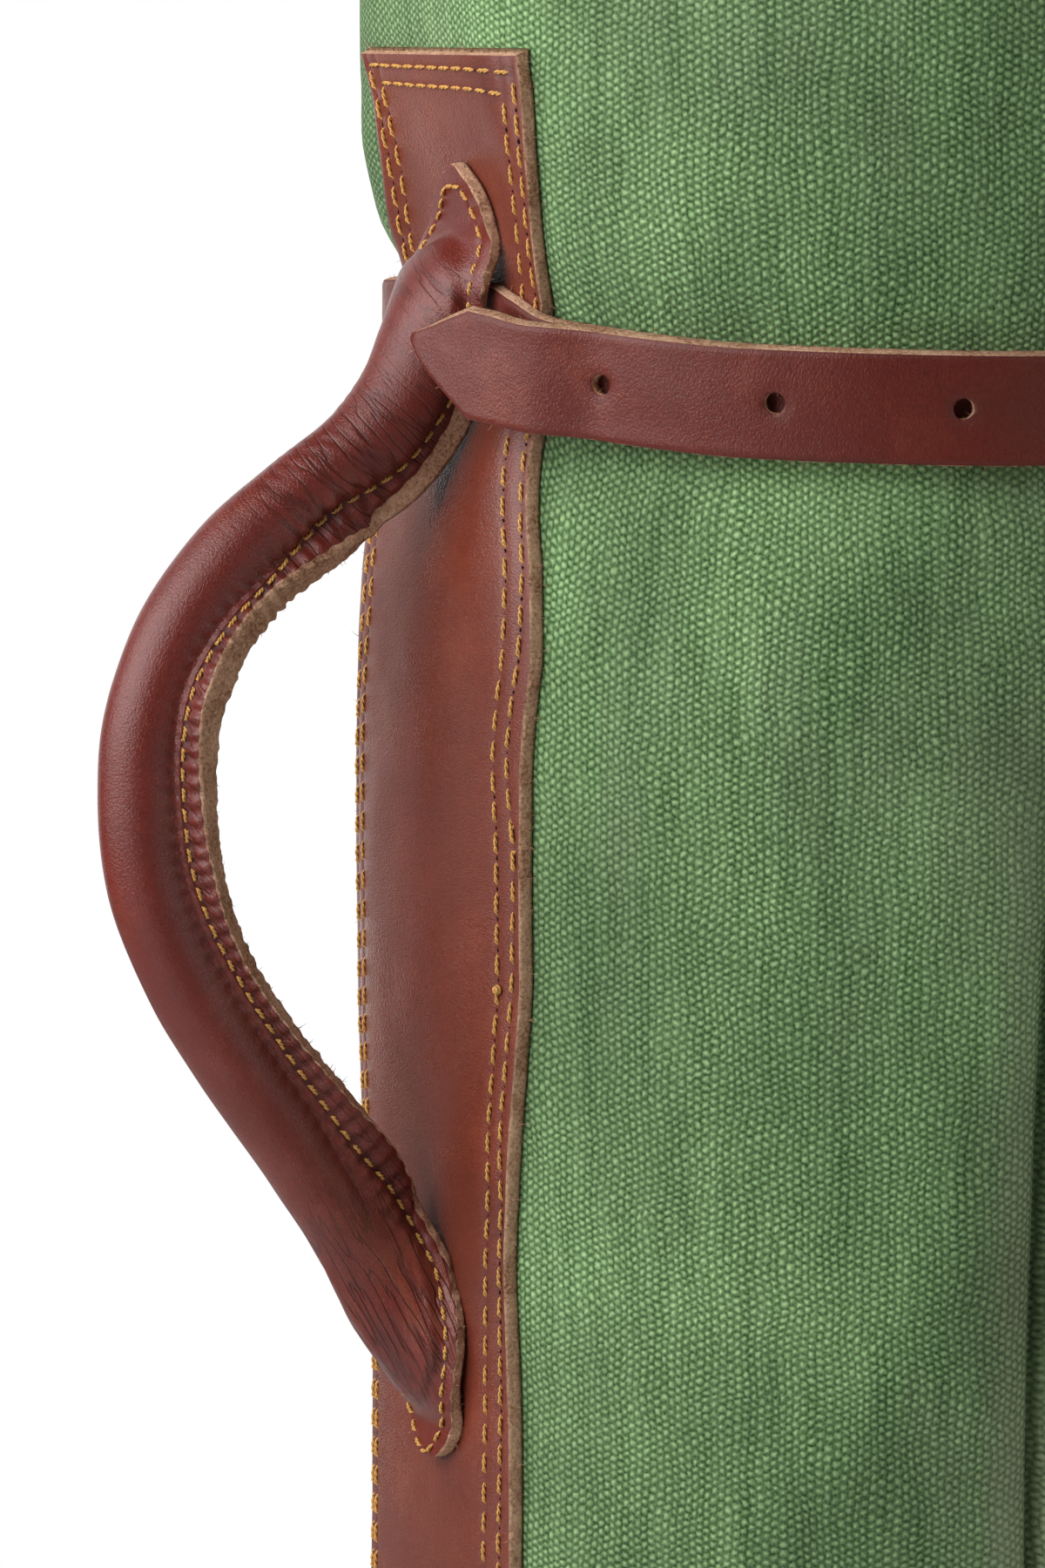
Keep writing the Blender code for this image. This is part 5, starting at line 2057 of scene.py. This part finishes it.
def make_camera():
    """The photograph's camera: it stands level with the strap and looks a little down."""
    camera = bpy.data.cameras.new("photo_camera")
    camera.lens = CAMERA_LENS
    camera.sensor_width = CAMERA_SENSOR
    camera.clip_end = 200
    holder = bpy.data.objects.new("photo_camera", camera)
    place = at_azimuth(CAMERA_AZIMUTH, CAMERA_DISTANCE, CAMERA_HEIGHT)
    inward = Vector((-place.x, -place.y, 0)).normalized()
    level = Matrix.Rotation(math.radians(CAMERA_YAW), 3, "Z") @ inward
    pitch = math.radians(CAMERA_PITCH)
    ahead = level * math.cos(pitch) + Vector((0, 0, -math.sin(pitch)))
    right = ahead.cross(Vector((0, 0, 1))).normalized()
    matrix = Matrix((right, right.cross(ahead), -ahead)).transposed().to_4x4()
    matrix.translation = place
    holder.matrix_world = matrix
    bpy.context.scene.collection.objects.link(holder)
    bpy.context.scene.camera = holder


# Steps and panel


class GOLFBAG_OT_stage(bpy.types.Operator):
    """Adds the floor, the lights and the camera"""

    bl_idname = "golfbag.stage"
    bl_label = "Stage"

    def execute(self, context):
        make_floor()
        make_surround()
        make_lights()
        make_camera()
        return {"FINISHED"}


class GOLFBAG_OT_canvas(bpy.types.Operator):
    """Models the woven canvas tube with its hem"""

    bl_idname = "golfbag.canvas"
    bl_label = "Canvas tube"

    def execute(self, context):
        make_canvas_body()
        return {"FINISHED"}


class GOLFBAG_OT_base(bpy.types.Operator):
    """Finishes the base panel"""

    bl_idname = "golfbag.base"
    bl_label = "Base"

    def execute(self, context):
        dress_base()
        return {"FINISHED"}


class GOLFBAG_OT_strip(bpy.types.Operator):
    """Models the leather strip on the bag's side"""

    bl_idname = "golfbag.strip"
    bl_label = "Side strip"

    def execute(self, context):
        make_side_strip()
        return {"FINISHED"}


class GOLFBAG_OT_handle(bpy.types.Operator):
    """Models the rolled leather handle"""

    bl_idname = "golfbag.handle"
    bl_label = "Handle"

    def execute(self, context):
        make_handle()
        return {"FINISHED"}


class GOLFBAG_OT_strap(bpy.types.Operator):
    """Models the strap with its punched holes"""

    bl_idname = "golfbag.strap"
    bl_label = "Waist strap"

    def execute(self, context):
        make_waist_strap()
        return {"FINISHED"}


class GOLFBAG_OT_buckle(bpy.types.Operator):
    """Models the brass buckle"""

    bl_idname = "golfbag.buckle"
    bl_label = "Buckle"

    def execute(self, context):
        make_buckle()
        return {"FINISHED"}


class GOLFBAG_OT_sewing(bpy.types.Operator):
    """Sews the side strip, the handle and the hem"""

    bl_idname = "golfbag.sewing"
    bl_label = "Stitches"

    def execute(self, context):
        make_strip_stitches()
        make_handle_stitches()
        make_hem_stitches()
        return {"FINISHED"}


OPERATORS = (
    GOLFBAG_OT_stage,
    GOLFBAG_OT_canvas,
    GOLFBAG_OT_base,
    GOLFBAG_OT_strip,
    GOLFBAG_OT_handle,
    GOLFBAG_OT_strap,
    GOLFBAG_OT_buckle,
    GOLFBAG_OT_sewing,
)


class GOLFBAG_PT_panel(bpy.types.Panel):
    """Lists the bag's sizes, colours and steps."""

    bl_idname = "GOLFBAG_PT_panel"
    bl_label = "Golf bag"
    bl_space_type = "VIEW_3D"
    bl_region_type = "UI"
    bl_category = "Golf bag"

    def draw(self, context):
        layout = self.layout
        for group in (context.scene.golf_bag_sizes, context.scene.golf_bag_finishes):
            box = layout.box()
            for name in group.__annotations__:
                box.prop(group, name)
        for operator in OPERATORS:
            layout.operator(operator.bl_idname)


CLASSES = (GolfBagFinishes, GolfBagSizes, *OPERATORS, GOLFBAG_PT_panel)


def register():
    for one in CLASSES:
        bpy.utils.register_class(one)
    bpy.types.Scene.golf_bag_finishes = PointerProperty(type=GolfBagFinishes)
    bpy.types.Scene.golf_bag_sizes = PointerProperty(type=GolfBagSizes)


def unregister():
    del bpy.types.Scene.golf_bag_sizes
    del bpy.types.Scene.golf_bag_finishes
    for one in reversed(CLASSES):
        bpy.utils.unregister_class(one)


def main():
    register()
    bpy.ops.golfbag.stage()
    bpy.ops.golfbag.canvas()
    bpy.ops.golfbag.base()
    bpy.ops.golfbag.strip()
    bpy.ops.golfbag.handle()
    bpy.ops.golfbag.strap()
    bpy.ops.golfbag.buckle()
    bpy.ops.golfbag.sewing()


if __name__ == "__main__":
    main()
